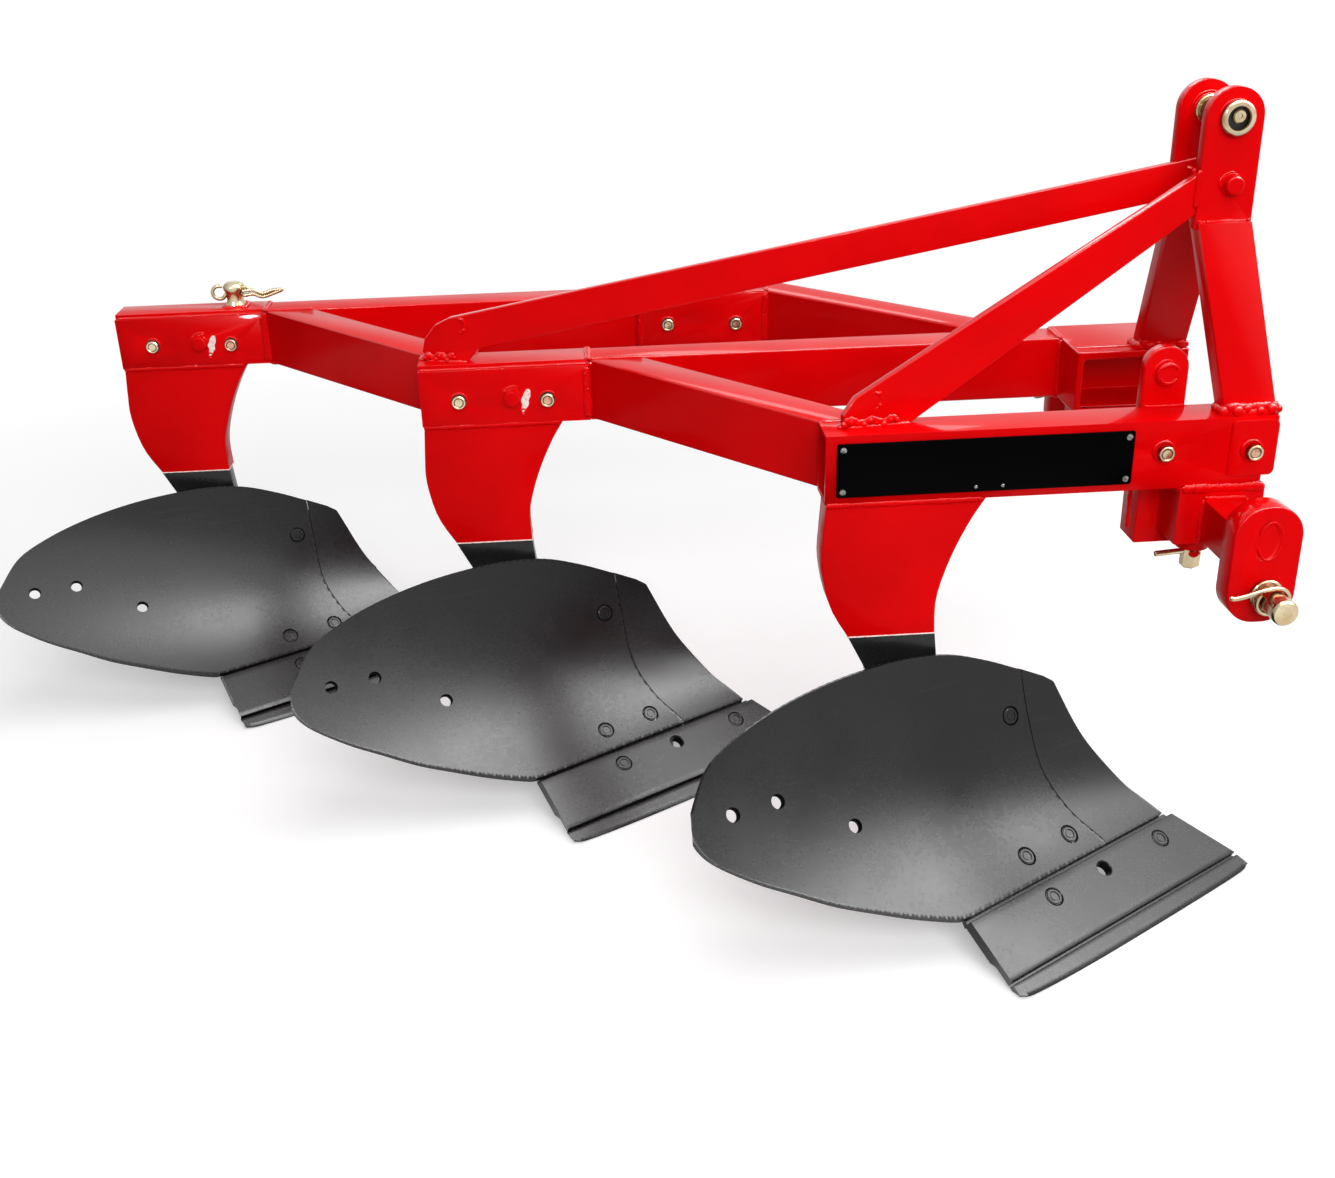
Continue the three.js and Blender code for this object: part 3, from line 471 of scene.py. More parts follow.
def floor_white():
    """Floor that keeps its shadows near the plough and fades to plain white; it lights the plough dimly."""
    made = bpy.data.materials.new("floor_white")
    made.use_nodes = True
    s = Nodes(made.node_tree)
    s.surface(Base_Color=(0.82, 0.82, 0.82, 1), Roughness=0.85, Specular_IOR_Level=0.1)
    glow = s.add("ShaderNodeEmission", {"Color": WHITE, "Strength": 0.34}).outputs[0]
    white = s.add("ShaderNodeEmission", {"Color": WHITE, "Strength": 1.0}).outputs[0]
    near = s.add("ShaderNodeAddShader", {0: s.tree.nodes["Principled BSDF"].outputs[0], 1: glow}).outputs[0]
    coords = s.add("ShaderNodeTexCoord").outputs["Object"]
    radius = s.add("ShaderNodeVectorMath", {0: coords}, operation="LENGTH").outputs["Value"]
    seen = mix_shaders(s, s.ramp(radius, FADE_START, FADE_END), near, white)
    dim = s.add("ShaderNodeBsdfDiffuse", {"Color": (0.34, 0.34, 0.34, 1)}).outputs[0]
    s.feed(s.tree.nodes["Material Output"].inputs["Surface"], mix_shaders(s, shows_white(s), dim, seen))
    return made


def studio():
    """The floor, and a world that is white to look at and dimmer as a light."""
    h = FLOOR_HALF
    floor = linked("floor", mesh_of("floor", [(-h, -h, 0), (h, -h, 0), (h, h, 0), (-h, h, 0)], [(0, 1, 2, 3)]))
    floor.location.z = FLOOR_DROP
    floor.data.materials.append(floor_white())
    world = bpy.data.worlds.new("studio")
    bpy.context.scene.world = world
    world.use_nodes = True
    s = Nodes(world.node_tree)
    light = s.tree.nodes["Background"]
    s.feed(light.inputs["Color"], (0.95, 0.96, 1.0, 1))
    s.feed(light.inputs["Strength"], WORLD_FILL)
    white = s.add("ShaderNodeBackground", {"Color": WHITE, "Strength": 1.0}).outputs[0]
    mixed = mix_shaders(s, shows_white(s), light.outputs[0], white)
    s.feed(s.tree.nodes["World Output"].inputs["Surface"], mixed)


def softbox(name, at, aim, wide, tall, watts, gloss_only=False, matt_only=False, spin=0):
    """Rectangular area light at a point, turned to face another, or straight down with a spin in degrees.

    A gloss light shows in reflections alone, and a matt light never does.
    """
    data = bpy.data.lights.new(name, "AREA")
    data.shape, data.size, data.size_y, data.energy = "RECTANGLE", wide, tall, watts
    lamp = linked(name, data)
    lamp.location = at
    lamp.visible_diffuse = not gloss_only
    lamp.visible_glossy = not matt_only
    lamp.rotation_euler = (Vector(aim) - Vector(at)).to_track_quat("-Z", "Y").to_euler()
    if spin:
        lamp.rotation_euler = (0, 0, math.radians(spin))


def camera():
    """Three-quarter view from the near side, rear of the middle, looking down on the plough."""
    data = bpy.data.cameras.new("view")
    data.sensor_width = SENSOR
    data.lens = SENSOR * LENS_TO_SENSOR
    data.clip_end = 100
    made = linked("view", data)
    made.location = CAMERA_AT
    made.rotation_euler = Euler([math.radians(a) for a in CAMERA_TURN])
    bpy.context.scene.camera = made


studio()
softbox("overhead", (0.7, -0.3, 2.9), (0.1, 0, 0.3), 3.0, 2.4, 44)
softbox("near_key", (0.5, -3.3, 2.3), (0, 0, 0.3), 2.4, 1.6, 96, matt_only=True)
softbox("front_high", (2.5, 0.1, 2.1), (0.3, 0, 0.1), 1.3, 1.3, 12)
softbox("body_sheen", (2.25, -0.28, 2.8), (2.25, -0.28, 0.0), 4.0, 0.95, 165, gloss_only=True, spin=-14)
softbox("glint", (-1.5, -2.3, 2.3), (0.2, 0, 0.3), 0.4, 0.4, 34, gloss_only=True)
softbox("far_rim", (0.9, 3.3, 2.7), (0, 0, 0.4), 1.5, 0.5, 12)
camera()
bpy.context.scene.view_settings.view_transform = "Standard"

# -------------------- painted steel, with real rounded edges
PLAIN_EDGE, ZINC_EDGE = 1.4, 0.8
EDGE_WIDTH = (("step_brace", 3.2), ("middle_beam", 3.2), ("far_beam", 3.2), ("far_brace", 3.2),
              ("hitch_arm", 3.0), ("front_beam", 2.6), ("body_tube", 2.6), ("far_splice", 2.4), ("mast_", 2.4),
              ("hitch_sleeve", 2.4), ("cross_box", 2.2), ("clamp_bar", 1.8), ("short_stay", 1.6),
              ("long_stay", 1.6), ("name_plate", 0.5))
MADE_BELOW = ("moldboard", "shin", "share", "frog", "front_beam_bolt", "leg_bolt", "splice_bolt", "top_",
              "lower_link", "linch", "lock_pin", "rear_pin", "mast_bolt")
for node_name in NODES:
    if not node_name.startswith(MADE_BELOW):
        plain = ZINC_EDGE if SLOT_OF[node_name] == "yellow_zinc" else PLAIN_EDGE
        widths = [width for start, width in EDGE_WIDTH if node_name.startswith(start)]
        finished_copy(node_name, widths[0] if widths else plain)
for node_name, solid in NODES.items():
    solid.data.materials.clear()
    solid.data.materials.append(FINISH[SLOT_OF[node_name]])

# -------------------- plough bodies: moldboard, shin and share
BOARD_THICK = 8
TAIL_END = -348.4
FACE_FOOT, FACE_RUN, FACE_RISE, REACH = (-37, 78, 56), 0.627, 2.04, 230
LOWER_RIM = [(-37, 56), (-54, 58), (-101, 70), (-147, 84), (-192, 99), (-236, 117), (-280, 136), (-323, 159),
             (-343, 176), (-349, 192), (-342, 210), (-323, 236)]
UPPER_RIM = [(-285, 254), (-240, 267), (-190, 276), (-137, 281), (-75, 282), (-20, 275), (30, 258), (73, 239)]
SEAM = [(160, 56), (121, 87), (93, 127), (81, 180), (73, 239)]
SHIN_EDGE = [(249, 56), (226, 72), (207, 86), (182, 112), (160, 139), (145, 163), (132, 188), (118, 216)]
SHIN_TIP = (104, 225)
TAIL_LOW, TAIL_HIGH = (-323, 159), (-323, 236)
THROUGH_HOLES = [(-301, 190), (-248, 187), (-159, 145)]
BOARD_BOLTS = [(57, 190), (50, 72), (113, 72)]
SHARE_BOLTS = [(124, 73), (316, 73)]
SHARE_HOLE = (213, 74)
HOLE_RADIUS, SEAT_RADIUS, SHARE_HOLE_RADIUS, FROG_HOLE_RADIUS = 7.4, 11.0, 9.2, 13
SHARE_ANGLE, SHARE_LIFT, SHARE_FLOOR = math.radians(32), math.radians(30), 8
ALONG = np.array([math.cos(SHARE_ANGLE), math.sin(SHARE_ANGLE), 0])
UP = np.array([-math.sin(SHARE_ANGLE) * math.cos(SHARE_LIFT), math.cos(SHARE_ANGLE) * math.cos(SHARE_LIFT),
               math.sin(SHARE_LIFT)])
OUT = np.cross(ALONG, UP)


def facing(x, z):
    """Near face of the boards: y for an x and a z, leaning with the share, then ever steeper with height.

    From the foot of its rear end, y grows by a fixed share of x, and with height by r (1 - exp(-k z / r)),
    where r is a reach that shrinks with x.
    """
    reach = REACH - 0.5 * x
    bend = reach * (1 - np.exp(-FACE_RISE * (z - FACE_FOOT[2]) / reach))
    return FACE_FOOT[1] + FACE_RUN * (x - FACE_FOOT[0]) + bend


def behind(x, z, depth):
    """Point of the near face moved square to it, away from the near side."""
    x, z = np.asarray(x, float), np.asarray(z, float)
    lean_x = facing(x + 0.5, z) - facing(x - 0.5, z)
    lean_z = facing(x, z + 0.5) - facing(x, z - 0.5)
    away = np.stack([-lean_x, np.ones_like(lean_x), -lean_z], -1)
    away /= np.linalg.norm(away, axis=-1, keepdims=True)
    return np.stack([x, facing(x, z), z], -1) + away * depth


def share_point(s, t, n):
    """Share frame to body millimetres: s along the cutting edge, t up the slope, n out of the face."""
    s, t, n = (np.asarray(a, float)[..., None] for a in (s, t, n))
    return np.array([0, 0, SHARE_FLOOR]) + s * ALONG + t * UP + n * OUT


def coons(bottom, top, left, right):
    """Coons patch: the two ruled blends of opposite edges, less the bilinear blend of the corners."""
    v = np.linspace(0, 1, len(left))[:, None, None]
    u = np.linspace(0, 1, len(bottom))[None, :, None]
    corners = (1 - u) * (1 - v) * bottom[0] + u * (1 - v) * bottom[-1] + (1 - u) * v * top[0] + u * v * top[-1]
    return (1 - v) * bottom + v * top + (1 - u) * left[:, None] + u * right[:, None] - corners


def shell(front, back):
    """Closed plate between two grids of the same size: both faces and the four rims."""
    rows, columns = front.shape[:2]
    inner = grid_faces(rows, columns)
    half = rows * columns
    index = np.arange(half).reshape(rows, columns)
    loop = np.r_[index[0, :-1], index[:-1, -1], index[-1, :0:-1], index[:0:-1, 0]]
    after = np.roll(loop, -1)
    rim = np.stack([loop, after, after + half, loop + half], 1)
    faces = np.vstack([inner, inner[:, ::-1] + half, rim[:, ::-1]])
    return oriented(np.vstack([front.reshape(-1, 3), back.reshape(-1, 3)]), faces.tolist())


def board(xz):
    """Plate of the board's thickness over a grid of x and z; the back stays short of the tail's end."""
    back = behind(xz[..., 0], xz[..., 1], BOARD_THICK)
    back[..., 0] = np.maximum(back[..., 0], TAIL_END)
    return shell(behind(xz[..., 0], xz[..., 1], 0), back)


def drill(at, axis, radius, depth, flare=1.1):
    """Cutter for a hole with a countersunk mouth."""
    return turned([(radius + flare + 3, -3), (radius, flare), (radius, depth)], at, axis, 48)


def on_board(x, z):
    """Place on the near face and the direction into the plate."""
    return behind(x, z, 0), behind(x, z, 1) - behind(x, z, 0)


def moldboard():
    """Coons patch of share line, rounded tail, crest and seam, thickened, drilled for bolts and extension."""
    rim = rounded(LOWER_RIM + UPPER_RIM, 2400)
    low, high = (int(np.argmin(np.hypot(*(rim - p).T))) for p in (TAIL_LOW, TAIL_HIGH))
    foot = np.linspace(LOWER_RIM[0], SEAM[0], 60)
    bottom = np.vstack([resample(rim[low::-1], 112), foot[1:]])
    top, left, right = resample(rim[high:], len(bottom)), resample(rim[low:high + 1], 72), rounded(SEAM, 72)
    holes = [drill(*on_board(x, z), HOLE_RADIUS, 40) for x, z in THROUGH_HOLES]
    seats = [drill(*on_board(x, z), SEAT_RADIUS, 30, 0.8) for x, z in BOARD_BOLTS]
    return baked(*board(coons(bottom, top, left, right)), holes + seats, 1.2)


def shin():
    """Wearing edge of the board, ruled from the seam to the cutting edge."""
    seam = rounded(SEAM, 64) + (1.2, 0)
    edge = resample(np.vstack([rounded(SHIN_EDGE, 200), [SHIN_TIP]]), 64)
    grid = seam[:, None] + np.linspace(0, 1, 40)[None, :, None] * (edge - seam)[:, None]
    return baked(*board(grid), [], 1.2)


def share():
    """Profile carried along the share: thin blade, groove, raised face, and a lip up behind the boards."""
    step = np.linspace(0, 1, 150)
    edge = rounded([(0, -2), (24, -8), (142, -11), (367, -9), (408, -4)], 300)
    tip = np.interp(step * 408, edge[:, 0], edge[:, 1])
    blade = [(tip + (11.2 - tip) * f, n)
             for f, n in ((0, -2.6), (0.05, -2.0), (0.4, -2.0), (0.8, -2.0), (1, -2.0))]
    groove = [(11.7, -2.3), (12.0, -3.0), (12.2, -8.0), (14.9, -8.0), (15.2, -1.0), (15.5, -0.3), (16.2, 0.0)]
    face = [(t, 0.0) for t in np.linspace(24, 91, 10)] + [(92.4, -0.25), (92.9, -0.9), (93.0, -1.8)]
    lip = [(93.2, -8.7), (96.0, -8.7), (98.0, -8.8), (98.6, -9.6)]
    top = [(t * np.ones_like(step), n * np.ones_like(step)) for t, n in blade + groove + face + lip]
    rows = []
    for t, n in top:
        start = np.interp(t, (-11, 12, 16, 93, 99), (0, 1, 1, 4, 4))
        end = np.interp(t, (-11, -4, 12, 15, 93, 99), (408, 407, 402, 400, 358, 355))
        under = np.minimum(np.maximum(-14, -9.1 - 0.577 * t), n - 0.1)
        notch = 3.5 * (t < 46)
        rows.append((share_point(start + step * (end - start), t, n),
                     share_point(start + notch + step * (end - start - notch), t, under)))
    front, back = (np.stack(side) for side in zip(*rows))
    seats = [drill(share_point(s, t, 0), -OUT, SEAT_RADIUS, 30, 0.8) for s, t in SHARE_BOLTS]
    hole = [drill(share_point(*SHARE_HOLE, 0), -OUT, SHARE_HOLE_RADIUS, 40, 1.2)]
    return baked(*shell(front, back), seats + hole, 0.7, 88)


def bolt_face(at, axis, socket):
    """Face of a countersunk plough bolt: a flat disc with a fine ring, or a small socket in its middle."""
    middle = [(1.8, 1.3), (2.1, -0.2), (4.5, -0.3)] if socket else [(2.2, -0.5), (4.8, -0.5)]
    rim = [(5.1, 0.8), (6.2, 0.8), (6.6, -0.6), (8.5, -0.6), (9.3, 0.0), (9.4, 0.8)]
    return turned(middle + rim, at, axis, 36)



BODY_MESHES = {"moldboard": moldboard(), "shin": shin(), "share": share()}
faces_of_bolts = [bolt_face(*on_board(x, z), z > 100) for x, z in BOARD_BOLTS]
faces_of_bolts += [bolt_face(share_point(s, t, 0), -OUT, False) for s, t in SHARE_BOLTS]
BOLT_FACES = baked(*joined(faces_of_bolts), [], 0)
for number in (1, 2, 3):
    for part, mesh in BODY_MESHES.items():
        put(f"{part}_{number}_smooth", mesh, number - 1, [f"{part}_{number}"])
    put(f"plough_bolt_faces_{number}", BOLT_FACES, number - 1)


def drilled_frog(number):
    """The frame's own frog with rounded edges, drilled on behind the share's spare hole."""
    work = merged(f"frog_{number}")
    verts = np.array([v.co[:] for v in work.verts]) / MM - FIRST - STEP[number - 1]
    faces = [[v.index for v in face.verts] for face in work.faces]
    work.free()
    radius, inward = FROG_HOLE_RADIUS, (0.32, 0.77, -0.55)
    hole = turned([(radius, 4), (radius, 130)], share_point(*SHARE_HOLE, 0), inward, 40)
    return baked(verts, faces, [hole], PLAIN_EDGE, 32)


for number in (1, 2, 3):
    put(f"frog_{number}_drilled", drilled_frog(number), number - 1, [f"frog_{number}"])

# -------------------- welds under the paint
TUBE_WIDE, FAR_MOUTH, FAR_END = 54, 74, 79
X_BACK, Y_NEAR, Y_FAR, Z_UP, Z_DOWN = (-1, 0, 0), (0, -1, 0), (0, 1, 0), (0, 0, 1), (0, 0, -1)
MAST_FOOT = {"mast_near": (288, 348, 317, 347), "mast_far": (289, 349, 595, 623)}
MAST_BEND = 757
STUB = (269, 319, 405, 455)


def local_box(node_name):
    """Lowest and highest corner of a node, in the first body's millimetres."""
    return [np.array(corner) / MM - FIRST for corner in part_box(node_name)]


def beads(*rows):
    """Weld beads from rows of corners, direction, half width, lift and seed."""
    return [bead(*row) for row in rows]


def brace_mouths(node_name):
    """Plan corners where a slanted tube's ends meet straight faces: rear pair, then front pair."""
    (x0, y0, _), (x1, y1, _) = local_box(node_name)
    mouth = TUBE_WIDE
    for _ in range(12):
        mouth = TUBE_WIDE * math.hypot(x1 - x0 - mouth, y1 - y0) / (y1 - y0)
    if node_name == "far_brace":
        mouth = FAR_MOUTH
    return [(x0, y1), (x0 + mouth, y1)], [(x1 - mouth, y0), (x1, y0)]


def tube_joint(a, b, seed):
    """Beads round a tube's end between two plan points: up both sides, over the top and under."""
    low, high = BEAM_BOTTOM + 3, BEAM_TOP - 3
    return beads(([(*a, low), (*a, high)], Y_NEAR, 4.6, 3.0, seed),
                 ([(*b, low), (*b, high)], Y_NEAR, 4.6, 3.0, seed + 1),
                 ([(*a, BEAM_TOP), (*b, BEAM_TOP)], Z_UP, 4.2, 2.2, seed + 2),
                 ([(*a, BEAM_BOTTOM), (*b, BEAM_BOTTOM)], Z_DOWN, 4.0, 2.0, seed + 3))


def lumps(spots, size, seed):
    """Round drops of weld metal: half-sunk balls whose radius varies from spot to spot."""
    arc = np.linspace(0.06, np.pi - 0.06, 9)
    parts = []
    for k, spot in enumerate(spots):
        r = size * (1 + 0.25 * math.sin(seed + 2.3 * k))
        parts.append(turned(np.stack([r * np.sin(arc), -r * np.cos(arc)], 1), spot, (0.3, -0.8, 0.6), 18))
    return parts


def ring_of(x0, x1, y0, y1, z, half, lift, seed):
    """Four beads round an upright bar standing on a flat face."""
    corners = [(x0, y0, z), (x1, y0, z), (x1, y1, z), (x0, y1, z)]
    return [bead([corners[k], corners[(k + 1) % 4]], Z_UP, half, lift, seed + k) for k in range(4)]


def frame_welds():
    """Side plates, leg seams and the ends of every frame tube."""
    parts = []
    for number in (1, 2, 3):
        (x0, y0, _), (x1, y1, _) = local_box(f"leg_{number}")
        z = BEAM_BOTTOM - 1.5
        parts += beads(([(x0 + 4, y0 - 0.5, z), (x1 - 4, y0 - 0.5, z)], Y_NEAR, 3.4, 2.0, number),
                       ([(x0 + 4, y1 + 0.5, z), (x1 - 4, y1 + 0.5, z)], Y_FAR, 3.4, 2.0, number + 5))
        if number > 1:
            (x0, _, _), (x1, _, _) = local_box(f"body_tube_{number}")
            x, y = x1 - 3, STEP[number - 1][1] + PLATE_NEAR
            parts += beads(([(x0 + 3, y + 4, BEAM_TOP - 5), (x, y + 4, BEAM_TOP - 5)], Z_UP, 3.2, 2.0, number),
                           ([(x, y, BEAM_BOTTOM + 4), (x, y, BEAM_TOP - 9)], Y_NEAR, 5.6, 2.3, number + 2))
            drops = [(x + 2 * math.sin(3 * k), y - 0.8, BEAM_BOTTOM + 8 + 7 * k) for k in range(9)]
            parts += lumps(drops, 1.8, number)
            corner = [(x1, y + 3, BEAM_TOP - 8), (x1 + 5, y + 7, BEAM_TOP - 4)]
            parts.append(bead(corner, Z_UP, 3.6, 2.6, number + 3))
    for k, name in enumerate(("step_brace_1", "step_brace_2", "far_brace")):
        rear, front = brace_mouths(name)
        if name != "far_brace":
            parts += tube_joint(*rear, 11 + 5 * k)
        parts += tube_joint(*front, 13 + 5 * k)
    (x0, _, _), (_, y1, _) = local_box("far_brace")
    parts += tube_joint((x0, y1 - FAR_END), (x0, y1), 31)
    for name, end in (("middle_beam", 0), ("middle_beam", 1), ("far_beam", 0), ("far_beam", 1)):
        corners = local_box(name)
        x = corners[end][0]
        parts += tube_joint((x, corners[0][1]), (x, corners[1][1]), 37 + end)
    (x0, y0, _), (x1, _, z1) = local_box("far_splice")
    parts += beads(([(x0 + 3, y0 + 4, z1 - 1), (x1 - 3, y0 + 4, z1 - 1)], Z_UP, 3.2, 2.0, 43))
    for x in (x0 + 3, x1 - 3):
        parts += beads(([(x, y0, BEAM_BOTTOM + 4), (x, y0, z1 - 5)], Y_NEAR, 5.0, 2.6, 44))
        parts += lumps([(x + 2 * math.sin(k), y0 - 0.6, BEAM_BOTTOM + 8 + 9 * k) for k in range(8)], 1.9, 5)
    x0, y0, _ = local_box("cross_box")[0]
    return parts + beads(([(x0 + 2, y0 + 22, BEAM_TOP), (x0 + 84, y0 + 22, BEAM_TOP)], Z_UP, 4.0, 2.4, 47))


def mast_foot_welds(name, seed):
    """Thick beads and drops round a mast plate's foot, and the beads of its bend on both faces."""
    x0, x1, y0, y1 = MAST_FOOT[name]
    y, z = y0 - 2, BEAM_TOP
    parts = ring_of(x0, x1, y0, y1, z + 1, 8.0, 7.0, seed)
    parts += beads(([(x0, y, z + 7), (x1, y, z + 7)], Y_NEAR, 6.4, 4.6, seed + 2))
    parts += lumps([(x0 - 3, y, z + 4), (x0 + 3, y - 2, z + 9), (x1 + 1, y, z + 4), (x1 - 9, y - 3, z + 6),
                    (x0 + 22, y - 3, z + 7), (x0 + 38, y - 4, z + 4), (x0 + 11, y - 4, z + 5)], 5.6, seed)
    near, far = MAST_FACE[name] - 0.2, MAST_FACE[name] + 14.2
    drops = [(x, MAST_FACE[name] - out, MAST_BEND + rise) for x, out, rise in (
        (254, 1, 2), (259, 1, -1), (264, 1, 1), (305, 1, 0), (310, 1, 2), (312, 2, -6), (311, 1, -10))]
    parts += beads(([(252, near, MAST_BEND), (313, near, MAST_BEND)], Y_NEAR, 3.0, 1.5, seed + 4))
    parts += lumps(drops, 2.1, seed + 3)
    return parts + beads(([(252, far, MAST_BEND - 5), (313, far, MAST_BEND - 5)], Y_FAR, 3.0, 1.5, seed + 5))


def stay_welds(name, face, base, rear, row, fold_at, seed):
    """Both sides of a stay's foot, drops and a fold along its near side, and its head at the mast plate."""
    (x0, y0, _), (x1, y1, _) = local_box(name)
    slope, start = (y1 - y0 - 12) / (x1 - x0), y0 + 6
    if name == "long_stay":
        slope, start = -slope, y1 - 6
    side = math.hypot(1, slope)

    def beside(x, off, z):
        """Point at a distance square to the stay's middle line."""
        return x, start + slope * (x - x0) + off * side, z

    parts = []
    foot, head = BEAM_TOP + 0.5, 817
    for way, up in ((-1, Y_NEAR), (1, Y_FAR)):
        edge = [beside(x, way * 6, foot) for x in (x0 + 6, x0 + base)]
        parts.append(bead(edge, Z_UP, 5.0, 3.2, seed))
        if name == "short_stay":
            parts += beads(([(249, face + 7 * way, 774), (249, face + 7 * way, 815)], up, 3.4, 2.4, seed))
    rear = x0 + 2 if rear is None else rear
    spots = [beside(x, -8, BEAM_TOP + 5 + 3 * math.sin(1.9 * k))
             for k, x in enumerate(np.linspace(rear, rear + row, 9))]
    parts += lumps(spots, 3.4, seed)
    parts += beads(([(x, y, z + 2) for x, y, z in spots], Y_NEAR, 4.4, 2.4, seed + 4))
    x, z = fold_at
    fold = [beside(x + dx, -6.2, z + dz) for dx, dz in ((-6, 3), (0, 2), (3, -5), (1, -12), (-5, -18))]
    parts += beads((fold, Y_NEAR, 2.0, 1.5, seed + 5)) + lumps([fold[1], fold[3]], 2.6, seed)
    return parts + beads(([(x0 - 1, start - 7, foot), (x0 + 1, start + 6, foot)], Z_UP, 5.0, 3.2, seed + 2),
                         ([(x1 - 10, face - 5, head), (x1 - 8, face + 6, head)], Z_UP, 3.0, 1.6, seed + 3))


def hitch_welds():
    """Sleeves under the beams, stub tubes in sleeve and drop plate, and the upright lug."""
    parts = []
    sx0, sx1, sz0, sz1 = STUB
    around = [(sx0, sz0), (sx0, sz1), (sx1, sz1), (sx1, sz0)]
    for name, seed, way, side in (("near", 81, Y_NEAR, 0), ("far", 91, Y_FAR, 1)):
        sleeve = local_box(f"hitch_sleeve_{name}")
        mouth = sleeve[side][1]
        plate = local_box(f"hitch_arm_{name}")[side][1] - 32 * way[1]
        (x0, y0, _), (x1, y1, z1) = sleeve
        parts += beads(([(x0 + 2, mouth, z1 - 1), (x1 - 2, mouth, z1 - 1)], way, 5.4, 3.4, seed),
                       ([(x0, y0 + 2, z1 - 1), (x0, y1 - 2, z1 - 1)], X_BACK, 4.4, 2.8, seed + 1))
        drops = [(x0 + 4, mouth, z1), (x0 + 8, mouth, z1 - 2), (x1 - 18, mouth, z1), (x1 - 12, mouth, z1 + 1),
                 (271, mouth, 457), (272, plate - 2, 459), (311, plate - 4, 458), (316, plate, 456)]
        parts += lumps(drops, 2.6, seed)
        for y, half, up in ((mouth, 4.2, way), (plate, 5.0, [-w for w in way])):
            for k, (a, b) in enumerate(zip(around, around[1:] + around[:1])):
                parts.append(bead([(a[0], y, a[1]), (b[0], y, b[1])], up, half, 2.6, seed + k))
    x0, y0, _ = local_box("clamp_bar")[0]
    top = BEAM_TOP + 0.5
    return parts + beads(([(x0 + 3, y0 + 9, top), (x0 + 49, y0 + 9, top)], Z_UP, 3.8, 2.4, 97),
                         ([(x0 - 1, y0 + 10, 400), (x0 - 1, y0 + 10, 466)], X_BACK, 4.0, 2.4, 98))


def placed(name, parts, material, node_names=(), smooth_angle=34):
    """One mesh piece from solids in the first body's millimetres, kept inside the frame's own box."""
    verts, faces = joined(parts)
    mesh = mesh_of(name, np.clip(place(verts), *cad_box), faces)
    riding(name, mesh, material, node_names)
    mesh.set_sharp_from_angle(angle=math.radians(smooth_angle))


mast_welds = mast_foot_welds("mast_near", 51) + mast_foot_welds("mast_far", 57)
mast_welds += stay_welds("short_stay", 382, 80, None, 62, (-108, 588), 63)
mast_welds += stay_welds("long_stay", 457.5, 60, -646, 40, (-592, 607), 69)
for name, parts in (("frame_welds", frame_welds()), ("mast_welds", mast_welds), ("hitch_welds", hitch_welds())):
    placed(name, parts, RED, smooth_angle=80)


# -------------------- bolts, bosses and paint chips
def bolt_head(at, height):
    """Round bolt: raised rim round a sunk middle, straight side and a stub of shank in its hole."""
    profile = [(1, height - 1.2), (6.0, height - 1.2), (6.7, height - 0.2), (7.4, height), (8.3, height - 0.1),
               (9.0, height - 0.9), (9.0, 0.3), (5.2, 0.3), (5.2, -6)]
    return turned(profile, at, Y_NEAR, 44)


def base_ring(at, radius, lift):
    """Low rounded ring of paint and weld round a bolt or boss."""
    angle = np.linspace(0, np.pi, 9)
    return turned(np.stack([radius - 1.6 + 1.6 * np.cos(angle), lift * np.sin(angle) - 0.2], 1), at, Y_NEAR, 40)


def crown(at, radius, low, high, seed):
    """Drip of weld over the shoulder of a boss: a bead along an arc, angles in degrees from forward to up."""
    turn = np.radians(np.linspace(low, high, 24))
    arc = np.array(at) + np.stack([radius * np.cos(turn), np.zeros(24) - 0.2, radius * np.sin(turn)], 1)
    return bead(arc, Y_NEAR, 2.0, 1.7, seed)


def bare_patch(at, depth, grow=0.0):
    """Flake beside a boss: a slanted sliver, widest in its upper half, whose two sides waver out of step."""
    along = np.linspace(0, 1, 44)[:, None]
    across = np.linspace(-1, 1, 10)[None]
    half = (5.4 + grow) * np.sin(np.pi * (0.03 + 0.94 * along)) ** 0.55 * (1.15 - 0.45 * along)
    middle = 21.5 - 7.5 * along + 0.7 * np.sin(11 * along)
    x = middle + across * half * (1 + 0.10 * np.sin(19 * along + 1.5 * across))
    z = 11 + grow - (31 + 2 * grow) * along + 0 * across
    front = np.stack([x, np.zeros_like(x) - depth, z], -1)
    return shell(np.array(at) + front, np.array(at) + front + (0, depth + 0.4, 0))


HEAD_HEIGHT = {"front_beam_bolt_1": 10, "front_beam_bolt_2": 10, "leg_bolt_2_1": 8, "leg_bolt_2_2": 8,
               "leg_bolt_3_1": 8, "leg_bolt_3_2": 8, "splice_bolt_1": 7, "splice_bolt_2": 7}
rings, shade_rings, middles = [], [], ([], [])
for node_name, height in HEAD_HEIGHT.items():
    low, high = local_box(node_name)
    centre = [(low[0] + high[0]) / 2, low[1] + height, (low[2] + high[2]) / 2]
    metal = COPPER if node_name == "leg_bolt_3_2" else ZINC
    placed(node_name + "_head", [bolt_head(centre, height)], metal, [node_name])
    # Painted shade: a thin black ring in the groove between the head's middle and its rim stands in for the
    # shade there.
    sunk = [(5.3, height - 1.1), (6.5, height - 1.1), (6.5, height - 1.3)]
    middle = [(0.8, height - 0.6), (5.2, height - 0.8), (5.6, height - 1.3)]
    if node_name.startswith("front"):
        rings.append(base_ring(np.array(centre) + (-1.6, 0, 1.6), 13.4, 3.4))
        rings.append(crown(centre, 13.0, 75, 190, len(rings)))
    else:
        rings.append(base_ring(centre, 12.4, 1.0))
        # Painted shade: a black ring round the head's foot stands in for the shadow in the gap between head and
        # plate.
        shade_rings.append(turned([(8.8, 0.9), (10.0, 0.9), (10.7, 0.4), (10.8, -0.3)], centre, Y_NEAR, 40))
    shade_rings.append(turned(sunk, centre, Y_NEAR, 32))
    middles[node_name.endswith("_2")].append(turned(middle, centre, Y_NEAR, 32))
